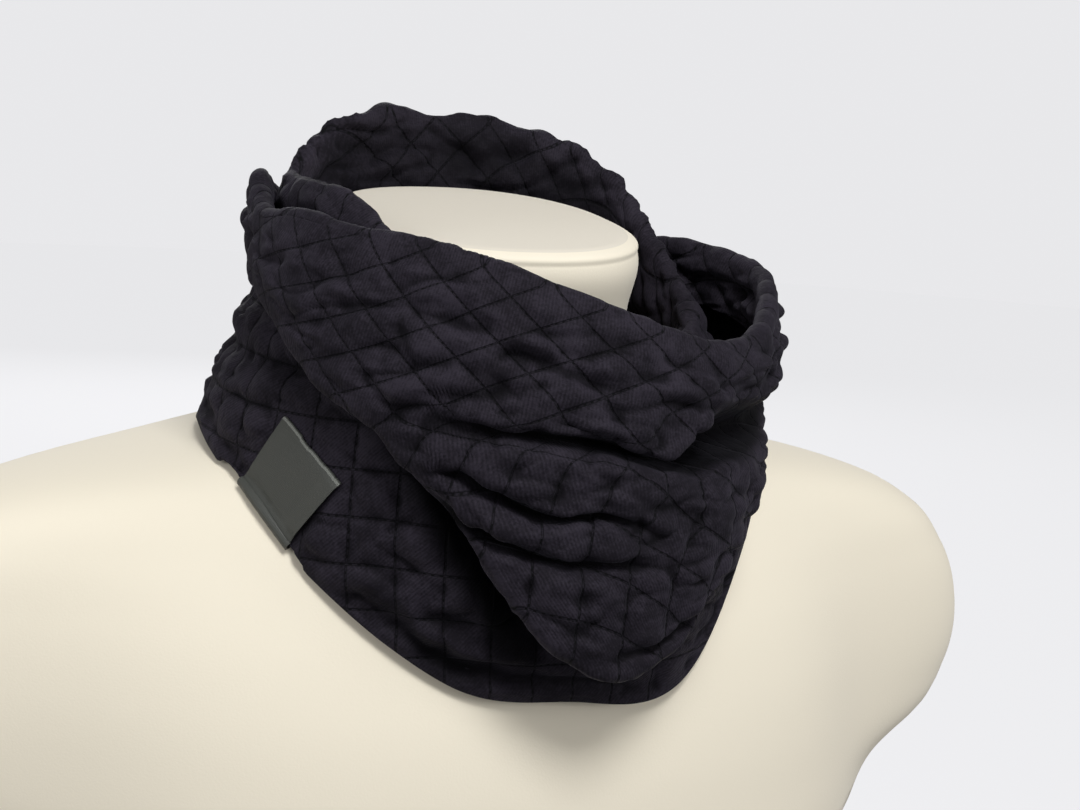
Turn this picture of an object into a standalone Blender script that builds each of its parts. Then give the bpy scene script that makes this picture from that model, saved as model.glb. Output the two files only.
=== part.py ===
"""Quilted jersey cowl scarf, worn slouched on a limbless dress form.

Metres, +Z up. The form faces -Y and stands on Z = 0. Its wearer's right is -X.
The cloth is laid out in turns round an upright axis through the neck: an azimuth of 0 degrees is
the front (-Y), and positive azimuths go round to the wearer's left (+X).
"""
import math

import bmesh
import bpy
import numpy as np
from mathutils import Vector
from mathutils.bvhtree import BVHTree

# ---------------------------------------------------------------- driving dimensions (metres)
AXIS_X = 0.0047             # the cowl hangs a little to the wearer's left of the form's middle
AXIS_Y = -0.045             # and forward of it
WALL = 0.0026               # quilted jersey with its thin wadding, pressed flat
PUFF = 0.0024               # how far the middle of a quilted diamond stands up
SEAM_GAP = 0.0006           # between neighbouring pieces
TUBE_EXTRA_GAP = 0.0003     # the tube stands this much further off the form
PUSH_ROUNDS = 3             # how often a piece is moved clear of what is behind it
FACE_SAMPLES = [(0.34, 0.33, 0.33), (0.5, 0.5, 0.0), (0.0, 0.5, 0.5), (0.5, 0.0, 0.5)]
FOLD_RADIUS = 0.0016        # inside radius where the cloth turns back on itself
DIAMOND = 0.025             # from corner to corner of a quilted diamond
FACING = 0.050              # length turned in at the neck edge of the tube
DRAPE_FACING = 0.022        # length turned in at the neck edge of the drape
DRAPE_RETURN = 0.014        # length turned up behind the drape's lower fold
TUBE_COLUMNS = 60           # two for each diamond round the tube
TUBE_FACING_ROWS = 5
TUBE_BODY_ROWS = 15
UPPER_SHARE = 0.28          # how far down the body its upper and swell sections lie
SWELL_SHARE = 0.66
FACING_SLANT = 0.002        # the facing's lower edge lies this much further in
RIM_PUFF = 0.5              # the diamonds stand up half as far on the rolled rim
DRAPE_COLUMNS = 60
DRAPE_FACING_ROWS = 2
DRAPE_RETURN_ROWS = 2
DRAPE_BULGE = 0.8           # below 1, the drape widens soonest near its rim
FACING_MOST = 0.45          # of the drape's length, where it is short
RETURN_MOST = 0.30
RETURN_BELOW_PLEAT = 0.45   # of the length left below the deepest pleat
FORM_COLUMNS = 56
NECK_LEAN = math.radians(6.2)       # the neck cap tilts forward
NECK_TILT_FROM = 0.425              # the tilt grows from here
NECK_TOP = 0.4953                   # up to here
ARM_STUB_DEPTH = 0.062              # half-depth of the closed arm stubs
LABEL_WIDTH = 0.037
LABEL_HEIGHT = 0.033
LABEL_TURN_UP = 0.010
LABEL_THICKNESS = 0.0008
LABEL_COLUMNS = 8
LABEL_AZIMUTH = -74.5       # where its middle crosses the hem
LABEL_LIFT = 0.0020         # the hem stands off the form where the label is folded under it
LABEL_LIFT_REACH = 24.0     # degrees to each side
LABEL_SLANT = 6.0           # its upper corners lean towards the front
LABEL_REACH = 16.0          # and the quilting is pressed flat this far to each side
LABEL_GAP = 0.0012
LABEL_ROWS = 8              # tube rows up from the hem that its quilting is pressed flat for
LABEL_PROBE = 0.004         # the cloth's facing under the label is read this far up
LABEL_FOLD = 0.0022         # how far below the hem its fold reaches
LABEL_FOLD_EDGE = 0.0014    # where the fold begins, above and below the hem
LABEL_FOLD_EASE = 0.0003    # its front stands off by this much more just above the fold

# Dress form, from the base up: height, half-width of the chest, half-width across the arm stubs,
# depth in front of the middle, depth behind it, and where the middle lies along Y.
FORM_SECTIONS = [
    # height  chest   arms   front    back   middle
    (0.0000, 0.1620, 0.1620, 0.1080, 0.0980, 0.0000),
    (0.0600, 0.1720, 0.1720, 0.1180, 0.1040, 0.0000),
    (0.1500, 0.1880, 0.1880, 0.1300, 0.1140, 0.0000),
    (0.2300, 0.1925, 0.1935, 0.1360, 0.1200, 0.0000),
    (0.2480, 0.1925, 0.2150, 0.1370, 0.1210, 0.0000),
    (0.2650, 0.1920, 0.2480, 0.1360, 0.1220, 0.0000),
    (0.2860, 0.1910, 0.2630, 0.1340, 0.1240, 0.0000),
    (0.3150, 0.1880, 0.2670, 0.1280, 0.1260, 0.0000),
    (0.3430, 0.1800, 0.2560, 0.1180, 0.1220, 0.0000),
    (0.3642, 0.1690, 0.2360, 0.1060, 0.1140, 0.0000),
    (0.3783, 0.1560, 0.2070, 0.0960, 0.1060, 0.0000),
    (0.3882, 0.1410, 0.1700, 0.0880, 0.0980, 0.0000),
    (0.3967, 0.1150, 0.1250, 0.0800, 0.0880, -0.0020),
    (0.4060, 0.0840, 0.0840, 0.0720, 0.0780, -0.0060),
    (0.4200, 0.0690, 0.0690, 0.0680, 0.0700, -0.0140),
    (0.4400, 0.0630, 0.0630, 0.0655, 0.0655, -0.0220),
    (0.4650, 0.0620, 0.0620, 0.0655, 0.0655, -0.0290),
    (0.4890, 0.0620, 0.0620, 0.0655, 0.0655, -0.0345),
    (0.4935, 0.0605, 0.0605, 0.0640, 0.0640, -0.0345),
    (0.4953, 0.0560, 0.0560, 0.0595, 0.0595, -0.0345),
]
FORM_RING_HEIGHTS = (
    list(np.linspace(0.0, 0.23, 9))
    + list(np.linspace(0.245, 0.41, 24))
    + list(np.linspace(0.42, 0.48, 6))
    + [0.489, 0.4935, 0.4953]
)

# Tube: the stretch that stands up behind the neck and lies on the chest below the drape.
# Radii are those of its plain inner side; the neck edge is the middle of the rolled rim.
TUBE_SECTIONS = [
    # azimuth  rim r   rim z  upper r upper z swell r swell z  hem r   hem z
    (-180.0, 0.0930, 0.5290, 0.0990, 0.4960, 0.1150, 0.4400, 0.1370, 0.3965),
    (-150.0, 0.0930, 0.5250, 0.0980, 0.4920, 0.1130, 0.4400, 0.1300, 0.4000),
    (-126.0, 0.0905, 0.5050, 0.0930, 0.4820, 0.1080, 0.4420, 0.1225, 0.4040),
    (-108.0, 0.0840, 0.5060, 0.0880, 0.4780, 0.1040, 0.4450, 0.1165, 0.4070),
    (-90.0, 0.0800, 0.5060, 0.0870, 0.4720, 0.1050, 0.4350, 0.1140, 0.4000),
    (-75.0, 0.0780, 0.5040, 0.0900, 0.4640, 0.1050, 0.4220, 0.1095, 0.3830),
    (-60.0, 0.0755, 0.4900, 0.0920, 0.4530, 0.1040, 0.4080, 0.1060, 0.3640),
    (-45.0, 0.0750, 0.4700, 0.0940, 0.4400, 0.1030, 0.3900, 0.0995, 0.3440),
    (-30.0, 0.0760, 0.4560, 0.0920, 0.4300, 0.1020, 0.3750, 0.0930, 0.3280),
    (0.0, 0.0770, 0.4480, 0.0880, 0.4200, 0.1010, 0.3650, 0.0880, 0.3210),
    (30.0, 0.0770, 0.4440, 0.0850, 0.4220, 0.0980, 0.3720, 0.0950, 0.3220),
    (60.0, 0.0800, 0.4500, 0.0880, 0.4340, 0.0980, 0.4080, 0.1040, 0.3660),
    (85.0, 0.0850, 0.4620, 0.0930, 0.4450, 0.1040, 0.4200, 0.1160, 0.3940),
    (105.0, 0.0880, 0.4800, 0.0940, 0.4600, 0.1050, 0.4300, 0.1200, 0.4020),
    (125.0, 0.0920, 0.5080, 0.0960, 0.4820, 0.1100, 0.4380, 0.1240, 0.4030),
    (150.0, 0.0930, 0.5250, 0.0980, 0.4920, 0.1130, 0.4400, 0.1300, 0.4000),
    (180.0, 0.0930, 0.5290, 0.0990, 0.4960, 0.1150, 0.4400, 0.1370, 0.3965),
]

# Drape: the stretch that hangs over the front of the tube, from its neck edge to its lower fold.
DRAPE_SECTIONS = [
    # azimuth  rim r   rim z  belly  fold r  fold z
    (-180.0, 0.1060, 0.4680, 0.0015, 0.1080, 0.4430),
    (-162.0, 0.1060, 0.4760, 0.0015, 0.1070, 0.4500),
    (-146.0, 0.1050, 0.4890, 0.0010, 0.1060, 0.4640),
    (-134.0, 0.1045, 0.4980, 0.0005, 0.1045, 0.4790),
    (-124.0, 0.1030, 0.5050, 0.0005, 0.1035, 0.4830),
    (-112.0, 0.0985, 0.4990, 0.0005, 0.0990, 0.4780),
    (-95.0, 0.0975, 0.4935, 0.0010, 0.1000, 0.4700),
    (-75.0, 0.0980, 0.4965, 0.0020, 0.1060, 0.4600),
    (-58.0, 0.0990, 0.4935, 0.0030, 0.1120, 0.4410),
    (-40.0, 0.1010, 0.4920, 0.0040, 0.1150, 0.4215),
    (-25.0, 0.1025, 0.4855, 0.0050, 0.1170, 0.3870),
    (-12.0, 0.1040, 0.4785, 0.0060, 0.1180, 0.3550),
    (0.0, 0.1050, 0.4710, 0.0060, 0.1190, 0.3410),
    (12.0, 0.1060, 0.4635, 0.0060, 0.1185, 0.3465),
    (24.0, 0.1070, 0.4575, 0.0060, 0.1165, 0.3640),
    (36.0, 0.1085, 0.4555, 0.0055, 0.1120, 0.3800),
    (50.0, 0.1095, 0.4600, 0.0050, 0.1075, 0.3930),
    (62.0, 0.1095, 0.4645, 0.0045, 0.1065, 0.4000),
    (80.0, 0.1080, 0.4725, 0.0035, 0.1070, 0.4120),
    (104.0, 0.1050, 0.4800, 0.0025, 0.1080, 0.4260),
    (126.0, 0.1050, 0.4770, 0.0020, 0.1085, 0.4370),
    (150.0, 0.1060, 0.4680, 0.0015, 0.1085, 0.4410),
    (180.0, 0.1060, 0.4680, 0.0015, 0.1080, 0.4430),
]

# Pleats across the drape. share is how far down from rim to fold the pleat lies at the front;
# it sinks towards the sides over left and right degrees. depth is how far it goes in, deepest at
# azimuth, and it dies out over fade_left and fade_right degrees. Its upper lip hangs over by lip.
PLEATS = [
    # share  left  right  depth  azimuth fade_left fade_right  lip
    (0.387, 61.0, 105.0, 0.0160, 22.0, 29.0, 32.0, 0.0030),
    (0.620, 72.0, 90.0, 0.0090, -6.0, 17.0, 17.0, 0.0030),
    (0.730, 80.0, 90.0, 0.0050, -9.0, 13.0, 14.0, 0.0020),
]
PLEAT_SINK_LEFT = 2.0       # how sharply the pleats sink towards each side
PLEAT_SINK_RIGHT = 1.25
POCKET_DEPTH = 0.0012       # the cloth is pressed thinner where a pleat is hollowed by more
POCKET_THINNING = 0.0008
PLEAT_FOLD_ROOM = 0.012     # a pleat dies out this near the drape's lower fold
PLEAT_WIDTH = 0.0085
PLEAT_LIP_RISE = 0.9        # the overhanging lip lies this many widths above the pleat
PLEAT_SHARES_MOST = [0.76, 0.86, 0.93]      # each pleat stays above this share of the drape

# Slouched folds across the outside of the tube: where the fold's middle lies round and up the
# body (0 at the neck edge, 1 at the hem), how far it climbs to each side, and how deep it goes.
SLOUCH_FOLDS = [
    # azimuth  share  half_length  climb   depth
    (172.0, 0.22, 66.0, 0.08, 0.0045),
    (-164.0, 0.50, 70.0, -0.12, 0.0140),
    (142.0, 0.70, 56.0, 0.10, 0.0110),
    (-18.0, 0.88, 38.0, 0.03, 0.0045),
    (62.0, 0.80, 26.0, -0.05, 0.0050),
]
SLOUCH_WIDTH = 0.100        # half-width of a slouch fold as a share of the body


# ---------------------------------------------------------------- small helpers
def smooth_row(table, position, periodic=False):
    """Read a table's other columns at a position of its first, on a smooth curve."""
    rows = np.array(table, dtype=float)
    place = rows[:, 0]
    values = rows[:, 1:]
    slopes = np.gradient(values, place, axis=0)
    if periodic:
        joined = (values[1] - values[-2]) / ((place[1] - place[0]) + (place[-1] - place[-2]))
        slopes[0] = joined
        slopes[-1] = joined
    i = int(np.clip(np.searchsorted(place, position) - 1, 0, len(place) - 2))
    step = place[i + 1] - place[i]
    t = (position - place[i]) / step
    start, end = values[i], values[i + 1]
    start_slope, end_slope = slopes[i] * step, slopes[i + 1] * step
    return (
        (2 * t**3 - 3 * t**2 + 1) * start
        + (t**3 - 2 * t**2 + t) * start_slope
        + (3 * t**2 - 2 * t**3) * end
        + (t**3 - t**2) * end_slope
    )


def turned(azimuth, radius, height):
    """A point at an azimuth, in degrees, round the cowl's axis."""
    a = math.radians(azimuth)
    return np.array((AXIS_X + radius * math.sin(a), AXIS_Y - radius * math.cos(a), height))


def fade(x):
    """1 at 0, falling smoothly to 0 at 1 and beyond."""
    x = min(abs(x), 1.0)
    return (1 - x * x) ** 2


def angle_between(a, b):
    """The signed turn from azimuth b to azimuth a, in degrees."""
    return (a - b + 180.0) % 360.0 - 180.0


def material(name, colour, roughness):
    """A Principled material."""
    made = bpy.data.materials.new(name)
    made.use_nodes = True
    shader = made.node_tree.nodes["Principled BSDF"]
    shader.inputs["Base Color"].default_value = (*colour, 1.0)
    shader.inputs["Roughness"].default_value = roughness
    shader.inputs["Metallic"].default_value = 0.0
    return made


def add_object(name, vertices, faces, finish, collection):
    """A mesh object with its normals facing out."""
    mesh = bpy.data.meshes.new(name)
    mesh.from_pydata([tuple(v) for v in vertices], [], faces)
    mesh.materials.append(finish)
    built = bmesh.new()
    built.from_mesh(mesh)
    bmesh.ops.recalc_face_normals(built, faces=built.faces)
    built.to_mesh(mesh)
    built.free()
    mesh.shade_smooth()
    mesh.set_sharp_from_angle(angle=math.radians(40))
    made = bpy.data.objects.new(name, mesh)
    collection.objects.link(made)
    return made


def grid_faces(columns, rows, closed, offset=0, flip=False):
    """Triangles over a grid of points, split along the quilting lines."""
    faces = []
    for i in range(columns if closed else columns - 1):
        for j in range(rows - 1):
            a = offset + i * rows + j
            b = offset + ((i + 1) % columns) * rows + j
            if (i + j) % 2 == 0:
                pair = [(a, b + 1, b), (a, a + 1, b + 1)]
            else:
                pair = [(a, a + 1, b), (b, a + 1, b + 1)]
            faces += [tuple(reversed(f)) for f in pair] if flip else pair
    return faces


def sheet_normals(grid, closed=False):
    """Unit normals of a grid of points [column, row], facing the side its columns turn about."""
    if closed:
        along = np.roll(grid, -1, axis=0) - np.roll(grid, 1, axis=0)
    else:
        along = np.gradient(grid, axis=0)
    down = np.gradient(grid, axis=1)
    normal = np.cross(down, along)
    return normal / np.linalg.norm(normal, axis=2, keepdims=True)


def wall_solid(inner, outer, closed):
    """Vertices and faces of the closed wall between two grids of points."""
    columns, rows = inner.shape[:2]
    count = columns * rows
    vertices = np.concatenate([inner.reshape(-1, 3), outer.reshape(-1, 3)])
    faces = grid_faces(columns, rows, closed, 0, flip=True)
    faces += grid_faces(columns, rows, closed, count)
    for i in range(columns if closed else columns - 1):
        a, b = i * rows, ((i + 1) % columns) * rows
        faces += [(a, b, b + count), (a, b + count, a + count)]
        a, b = a + rows - 1, b + rows - 1
        faces += [(b, a, a + count), (b, a + count, b + count)]
    if not closed:
        for j in range(rows - 1):
            faces += [(j + 1, j, j + count), (j + 1, j + count, j + 1 + count)]
            a = (columns - 1) * rows + j
            faces += [(a, a + 1, a + 1 + count), (a, a + 1 + count, a + count)]
    return vertices, faces


def push_clear(points, surface, gap, closed=True):
    """Move a grid of points out of a surface until its faces, too, stay clear of it by gap."""
    moved = np.array(points)
    columns, rows = moved.shape[:2]
    gap = np.broadcast_to(gap, (columns, rows))
    faces = np.array(grid_faces(columns, rows, closed))
    flat = moved.reshape(-1, 3)
    wanted = gap.reshape(-1)
    for _ in range(PUSH_ROUNDS):
        for index, place in enumerate(flat):
            near, normal, _, _ = surface.find_nearest(Vector(place))
            short = wanted[index] - (Vector(place) - near).dot(normal)
            if short > 0:
                flat[index] = place + np.array(normal) * short
        for face in faces:
            for share in FACE_SAMPLES:
                middle = np.array(share) @ flat[face]
                near, normal, _, _ = surface.find_nearest(Vector(middle))
                short = 0.7 * wanted[face].min() - (Vector(middle) - near).dot(normal)
                if short > 0:
                    flat[face] += np.array(normal) * short
    return flat.reshape(moved.shape)


def seat_columns(points, azimuths, surface, gap):
    """Shift whole columns outwards until none comes nearer than gap to a surface."""
    moved = np.array(points)
    outward = np.array([turned(a, 1.0, 0.0) - turned(a, 0.0, 0.0) for a in azimuths])
    for _ in range(PUSH_ROUNDS):
        short = np.zeros(len(azimuths))
        for (i, j), wanted in np.ndenumerate(gap):
            near, normal, _, _ = surface.find_nearest(Vector(moved[i, j]))
            short[i] = max(short[i], wanted - (Vector(moved[i, j]) - near).dot(normal))
            after = (i + 1) % len(azimuths)
            middle = (moved[i, j] + moved[after, j]) / 2
            near, normal, _, _ = surface.find_nearest(Vector(middle))
            missing = wanted - (Vector(middle) - near).dot(normal)
            short[i] = max(short[i], missing)
            short[after] = max(short[after], missing)
        eased = np.maximum(short, (np.roll(short, 1) + short + np.roll(short, -1)) / 3)
        moved += (outward * eased[:, None])[:, None, :]
    return moved


# ---------------------------------------------------------------- dress form
def form_ring(height):
    """One level section of the form, with its closed arm stubs, tilted at the neck cap."""
    chest, arms, front, back, middle = smooth_row(FORM_SECTIONS, height)
    arm_share = min(max((arms - chest) / 0.004, 0.0), 1.0)
    lean = min(max((height - NECK_TILT_FROM) / (NECK_TOP - NECK_TILT_FROM), 0.0), 1.0)
    points = []
    for i in range(FORM_COLUMNS):
        turn = 2 * math.pi * i / FORM_COLUMNS
        c, s = math.cos(turn), math.sin(turn)
        depth = front if s < 0 else back
        body = (abs(c / chest) ** 2.2 + abs(s / depth) ** 2.2) ** (-1 / 2.2)
        stub_depth = min(depth, ARM_STUB_DEPTH)
        stub = (abs(c / arms) ** 2.4 + abs(s / stub_depth) ** 2.4) ** (-1 / 2.4)
        both = (body**7 + stub**7) ** (1 / 7)
        radius = body + (both - body) * arm_share
        y = radius * s
        points.append((radius * c, y + middle, height + y * math.tan(NECK_LEAN) * lean))
    return points


def make_form(collection):
    """The limbless form: stacked rings, closed by a flat base and the neck cap."""
    rings = [form_ring(height) for height in FORM_RING_HEIGHTS]
    vertices = [point for ring in rings for point in ring]
    n = FORM_COLUMNS
    faces = []
    for k in range(len(rings) - 1):
        for i in range(n):
            a, b = k * n + i, k * n + (i + 1) % n
            faces.append((a, b, b + n, a + n))
    faces.append(tuple(reversed(range(n))))
    faces.append(tuple(range((len(rings) - 1) * n, len(rings) * n)))
    finish = material("form_jersey", (0.83, 0.78, 0.66), 0.85)
    return add_object("dress_form", vertices, faces, finish, collection)


# ---------------------------------------------------------------- tube
def turn_back(radius, height, upward):
    """The three points where the cloth turns over a fold, inner side first."""
    r = FOLD_RADIUS
    side = 1 if upward else -1
    return [(radius - 2 * r, height), (radius - r, height + side * r), (radius, height)]


def slouch_inward(azimuth, share):
    """How far the slouched folds go in at an azimuth and a share of the way to the hem."""
    inward = 0.0
    for fold_azimuth, fold_share, half_length, climb, depth in SLOUCH_FOLDS:
        off = angle_between(azimuth, fold_azimuth) / half_length
        across = (share - fold_share - climb * off) / SLOUCH_WIDTH
        inward += depth * fade(off) * math.exp(-across * across)
    return inward


def tube_profile(azimuth):
    """Radius and height down the tube, from the end of the turned-in facing to the hem."""
    rim_r, rim_z, upper_r, upper_z, swell_r, swell_z, hem_r, hem_z = smooth_row(
        TUBE_SECTIONS, azimuth, periodic=True
    )
    length = rim_z - hem_z
    facing_r = rim_r - 2 * FOLD_RADIUS
    facing = []
    for share in np.linspace(1, 0, TUBE_FACING_ROWS + 1)[:-1]:
        inward = slouch_inward(azimuth, FACING * share / length)
        facing.append((facing_r - FACING_SLANT * share - inward, rim_z - FACING * share))
    stations = [
        (0.0, rim_r, rim_z),
        (UPPER_SHARE, upper_r, upper_z),
        (SWELL_SHARE, swell_r, swell_z),
        (1.0, hem_r, hem_z),
    ]
    body = []
    for share in np.linspace(0, 1, TUBE_BODY_ROWS + 1)[1:]:
        radius, height = smooth_row(stations, share)
        body.append((radius - slouch_inward(azimuth, share), height))
    return facing + turn_back(rim_r, rim_z, True) + body


def under_drape(azimuth, height):
    """Whether the drape covers the tube here, so that its quilting is pressed flat."""
    _, rim_z, _, _, fold_z = smooth_row(DRAPE_SECTIONS, azimuth, periodic=True)
    return fold_z - FOLD_RADIUS < height < rim_z


def under_label(azimuth, row, rows):
    """Whether the label lies over the tube here."""
    off = angle_between(azimuth, LABEL_AZIMUTH + LABEL_SLANT)
    return abs(off) < LABEL_REACH and row > rows - LABEL_ROWS


def make_tube(collection, form_surface):
    """The tube's wall; its outer points are raised into diamonds."""
    azimuths = [-180.0 + 360.0 * i / TUBE_COLUMNS for i in range(TUBE_COLUMNS)]
    inner = np.array([[turned(a, r, z) for r, z in tube_profile(a)] for a in azimuths])
    gap = np.full(inner.shape[:2], SEAM_GAP + TUBE_EXTRA_GAP)
    gap[:, : TUBE_FACING_ROWS + 1] += WALL + PUFF
    for i, azimuth in enumerate(azimuths):
        gap[i, -3:] += LABEL_LIFT * fade(angle_between(azimuth, LABEL_AZIMUTH) / LABEL_LIFT_REACH)
    inner = push_clear(inner, form_surface, gap)
    normals = sheet_normals(inner, closed=True)
    height = np.full(inner.shape[:2], WALL)
    body_start = TUBE_FACING_ROWS + 3
    rows = inner.shape[1]
    for i, azimuth in enumerate(azimuths):
        for j in range(1, rows - 1):
            pressed = j >= body_start and (
                under_drape(azimuth, inner[i, j, 2]) or under_label(azimuth, j, rows)
            )
            if (i + j) % 2 and not pressed:
                height[i, j] += PUFF * (RIM_PUFF if TUBE_FACING_ROWS <= j < body_start else 1.0)
    outer = inner + normals * height[..., None]
    finish = material("quilted_jersey_tube", (0.011, 0.011, 0.014), 0.9)
    vertices, faces = wall_solid(inner, outer, closed=True)
    add_object("cowl_tube", vertices, faces, finish, collection)
    return inner, outer


# ---------------------------------------------------------------- drape
def pleat_place(pleat, azimuth, length):
    """How far down the drape a pleat lies, as a share, how deep it is there, and its lip."""
    share, left, right, depth, deepest, fade_left, fade_right, lip = pleat
    if azimuth < 0:
        where = share + (-azimuth / left) ** PLEAT_SINK_LEFT
    else:
        where = share + (azimuth / right) ** PLEAT_SINK_RIGHT
    off = azimuth - deepest
    reach = fade_left if off < 0 else fade_right
    room = (1 - where) * length / PLEAT_FOLD_ROOM - 1
    present = math.exp(-((off / reach) ** 2)) * min(max(room, 0.0), 1.0)
    return where, depth * present, lip * present


def pleats_inward(azimuth, share, length):
    """How far the pleats go in; the layers turned in behind them go in by as much."""
    inward = 0.0
    for pleat in PLEATS:
        where, depth, _ = pleat_place(pleat, azimuth, length)
        across = (share - where) * length / PLEAT_WIDTH
        inward += depth * math.exp(-across * across)
    return inward


def drape_shares(azimuth, length):
    """How far down the drape each row lies: even between pleats, and one on each pleat's lips."""
    deep, middle, low = [
        min(pleat_place(pleat, azimuth, length)[0], most)
        for pleat, most in zip(PLEATS, PLEAT_SHARES_MOST)
    ]
    room = (0.45 * (middle - deep), 0.9 * (low - middle), 0.9 * (1 - low))
    lip = min(1.25 * PLEAT_WIDTH / length, *room)
    upper = list(np.linspace(0, deep - lip, 6)[1:])
    return upper + [
        deep,
        deep + lip,
        0.5 * (deep + middle),
        middle - lip * 0.8,
        middle,
        0.5 * (middle + low),
        low,
        low + (1 - low) * 0.36,
        low + (1 - low) * 0.70,
    ]


def drape_profile(azimuth):
    """Radius and height down the drape, from its facing over the rim to the turned-up return."""
    rim_r, rim_z, belly, fold_r, fold_z = smooth_row(DRAPE_SECTIONS, azimuth, periodic=True)
    length = rim_z - fold_z
    inward = 2 * FOLD_RADIUS
    facing_length = min(DRAPE_FACING, FACING_MOST * length)
    pleat = min(max(pleat_place(PLEATS[0], azimuth, length)[0], 0.5), 0.8)
    below = (1 - pleat) * length
    return_length = min(DRAPE_RETURN, RETURN_MOST * length, RETURN_BELOW_PLEAT * below)
    facing = [(rim_r - inward, rim_z - facing_length), (rim_r - inward, rim_z - facing_length / 2)]
    body = []
    for share in drape_shares(azimuth, length):
        radius = rim_r + (fold_r - rim_r) * share**DRAPE_BULGE + belly * 4 * share * (1 - share)
        height = rim_z - length * share
        for pleat in PLEATS:
            where, _, lip = pleat_place(pleat, azimuth, length)
            across = (share - where) * length / PLEAT_WIDTH
            if across < 0:
                height -= lip * math.exp(-((across + PLEAT_LIP_RISE) ** 2))
        body.append((radius, height))
    return_end = [(fold_r - inward, fold_z + return_length)]
    lower_turn = list(reversed(turn_back(fold_r, fold_z, False)))
    profile = facing + turn_back(rim_r, rim_z, True) + body + lower_turn + return_end
    return [(r - pleats_inward(azimuth, (rim_z - z) / length, length), z) for r, z in profile]


def make_drape(collection, tube_surface):
    """The draped stretch in front, kept clear of the tube and the form."""
    azimuths = [-180.0 + 360.0 * i / DRAPE_COLUMNS for i in range(DRAPE_COLUMNS)]
    inner = np.array([[turned(a, r, z) for r, z in drape_profile(a)] for a in azimuths])
    behind = np.full(inner.shape[:2], SEAM_GAP)
    behind[:, : DRAPE_FACING_ROWS + 1] += WALL
    behind[:, -DRAPE_RETURN_ROWS:] += WALL
    inner = seat_columns(inner, azimuths, tube_surface, behind)
    normals = sheet_normals(inner, closed=True)
    height = np.full(inner.shape[:2], WALL)
    rows = inner.shape[1]
    for i in range(DRAPE_COLUMNS):
        for j in range(DRAPE_FACING_ROWS + 1, rows - DRAPE_RETURN_ROWS):
            between = (inner[i, j + 1] + inner[i, j - 1]) / 2
            hollow = (between - inner[i, j]) @ normals[i, j]
            if hollow > POCKET_DEPTH:
                height[i, j] -= POCKET_THINNING
            elif (i + j) % 2:
                spacing = np.linalg.norm(inner[i, j + 1] - inner[i, j - 1]) / DIAMOND
                height[i, j] += PUFF * min(spacing, 1.0)
    outer = inner + normals * height[..., None]
    finish = material("quilted_jersey_drape", (0.013, 0.013, 0.016), 0.9)
    vertices, faces = wall_solid(inner, outer, closed=True)
    add_object("front_drape", vertices, faces, finish, collection)
    return inner, outer


def make_label(collection, tube_inner):
    """A bare woven label, folded round the tube's hem."""
    columns, rows = tube_inner.shape[:2]
    points = [Vector(p) for p in tube_inner.reshape(-1, 3)]
    carrier = BVHTree.FromPolygons(points, grid_faces(columns, rows, True))
    middle = (LABEL_AZIMUTH + 180.0) / 360.0 * columns
    before, after = int(math.floor(middle)), int(math.floor(middle)) + 1
    share = middle - before
    hem = Vector(tube_inner[before, -1] * (1 - share) + tube_inner[after, -1] * share)
    along = Vector(tube_inner[after + 1, -1] - tube_inner[before - 1, -1]).normalized()
    _, outward, _, _ = carrier.find_nearest(hem + Vector((0, 0, LABEL_PROBE)))
    up = outward.cross(along).normalized()
    if up.z < 0:
        up = -up
    front = WALL + LABEL_GAP
    # distance up from the hem, and out from the cloth's inner side, round the label's fold
    route = [
        (LABEL_TURN_UP, -LABEL_GAP),
        (0.5 * LABEL_TURN_UP, -LABEL_GAP),
        (0.0, -LABEL_GAP),
        (-LABEL_FOLD_EDGE, 0.0),
        (-LABEL_FOLD, 0.5 * front),
        (-LABEL_FOLD_EDGE, front),
        (LABEL_FOLD_EDGE, front + LABEL_FOLD_EASE),
        (0.25 * LABEL_HEIGHT, front),
        (0.50 * LABEL_HEIGHT, front),
        (0.75 * LABEL_HEIGHT, front),
        (LABEL_HEIGHT, front),
    ]
    lines = []
    for side in np.linspace(-0.5, 0.5, LABEL_COLUMNS):
        line = []
        for climb, out in route:
            place = hem + along * (side * LABEL_WIDTH) + up * max(climb, 0.0)
            near, normal, _, _ = carrier.find_nearest(place)
            line.append(near + normal * out + up * min(climb, 0.0))
        lines.append([tuple(p) for p in line])
    inner = np.array(lines)
    normals = sheet_normals(inner, closed=False)
    side = math.copysign(LABEL_THICKNESS, normals[LABEL_COLUMNS // 2, -1] @ np.array(outward))
    outer = inner + normals * side
    finish = material("woven_label", (0.045, 0.047, 0.048), 0.6)
    vertices, faces = wall_solid(inner, outer, closed=False)
    add_object("edge_label", vertices, faces, finish, collection)


def main():
    """Build the form and then the cloth on it."""
    for old in list(bpy.data.objects):
        bpy.data.objects.remove(old, do_unlink=True)
    collection = bpy.data.collections.new("cowl_scarf_on_dress_form")
    bpy.context.scene.collection.children.link(collection)
    form = make_form(collection)
    form_surface = BVHTree.FromObject(form, bpy.context.evaluated_depsgraph_get())
    tube_inner, tube_outer = make_tube(collection, form_surface)
    tube_surface = BVHTree.FromPolygons(
        [Vector(p) for p in tube_outer.reshape(-1, 3)],
        grid_faces(TUBE_COLUMNS, tube_outer.shape[1], True),
    )
    make_drape(collection, tube_surface)
    make_label(collection, tube_inner)


main()
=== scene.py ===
"""Looks of a quilted jersey cowl scarf, worn slouched on a limbless dress form.

Metres, +Z up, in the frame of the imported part. The form faces -Y and stands on Z = 0.
The cloth is laid out in turns round an upright axis through the neck: an azimuth of 0 degrees is
the front, and positive azimuths go round to the wearer's left (+X).
"""
import math

import bpy
import numpy as np
from mathutils import Matrix, Vector, noise
from mathutils.bvhtree import BVHTree


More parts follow.
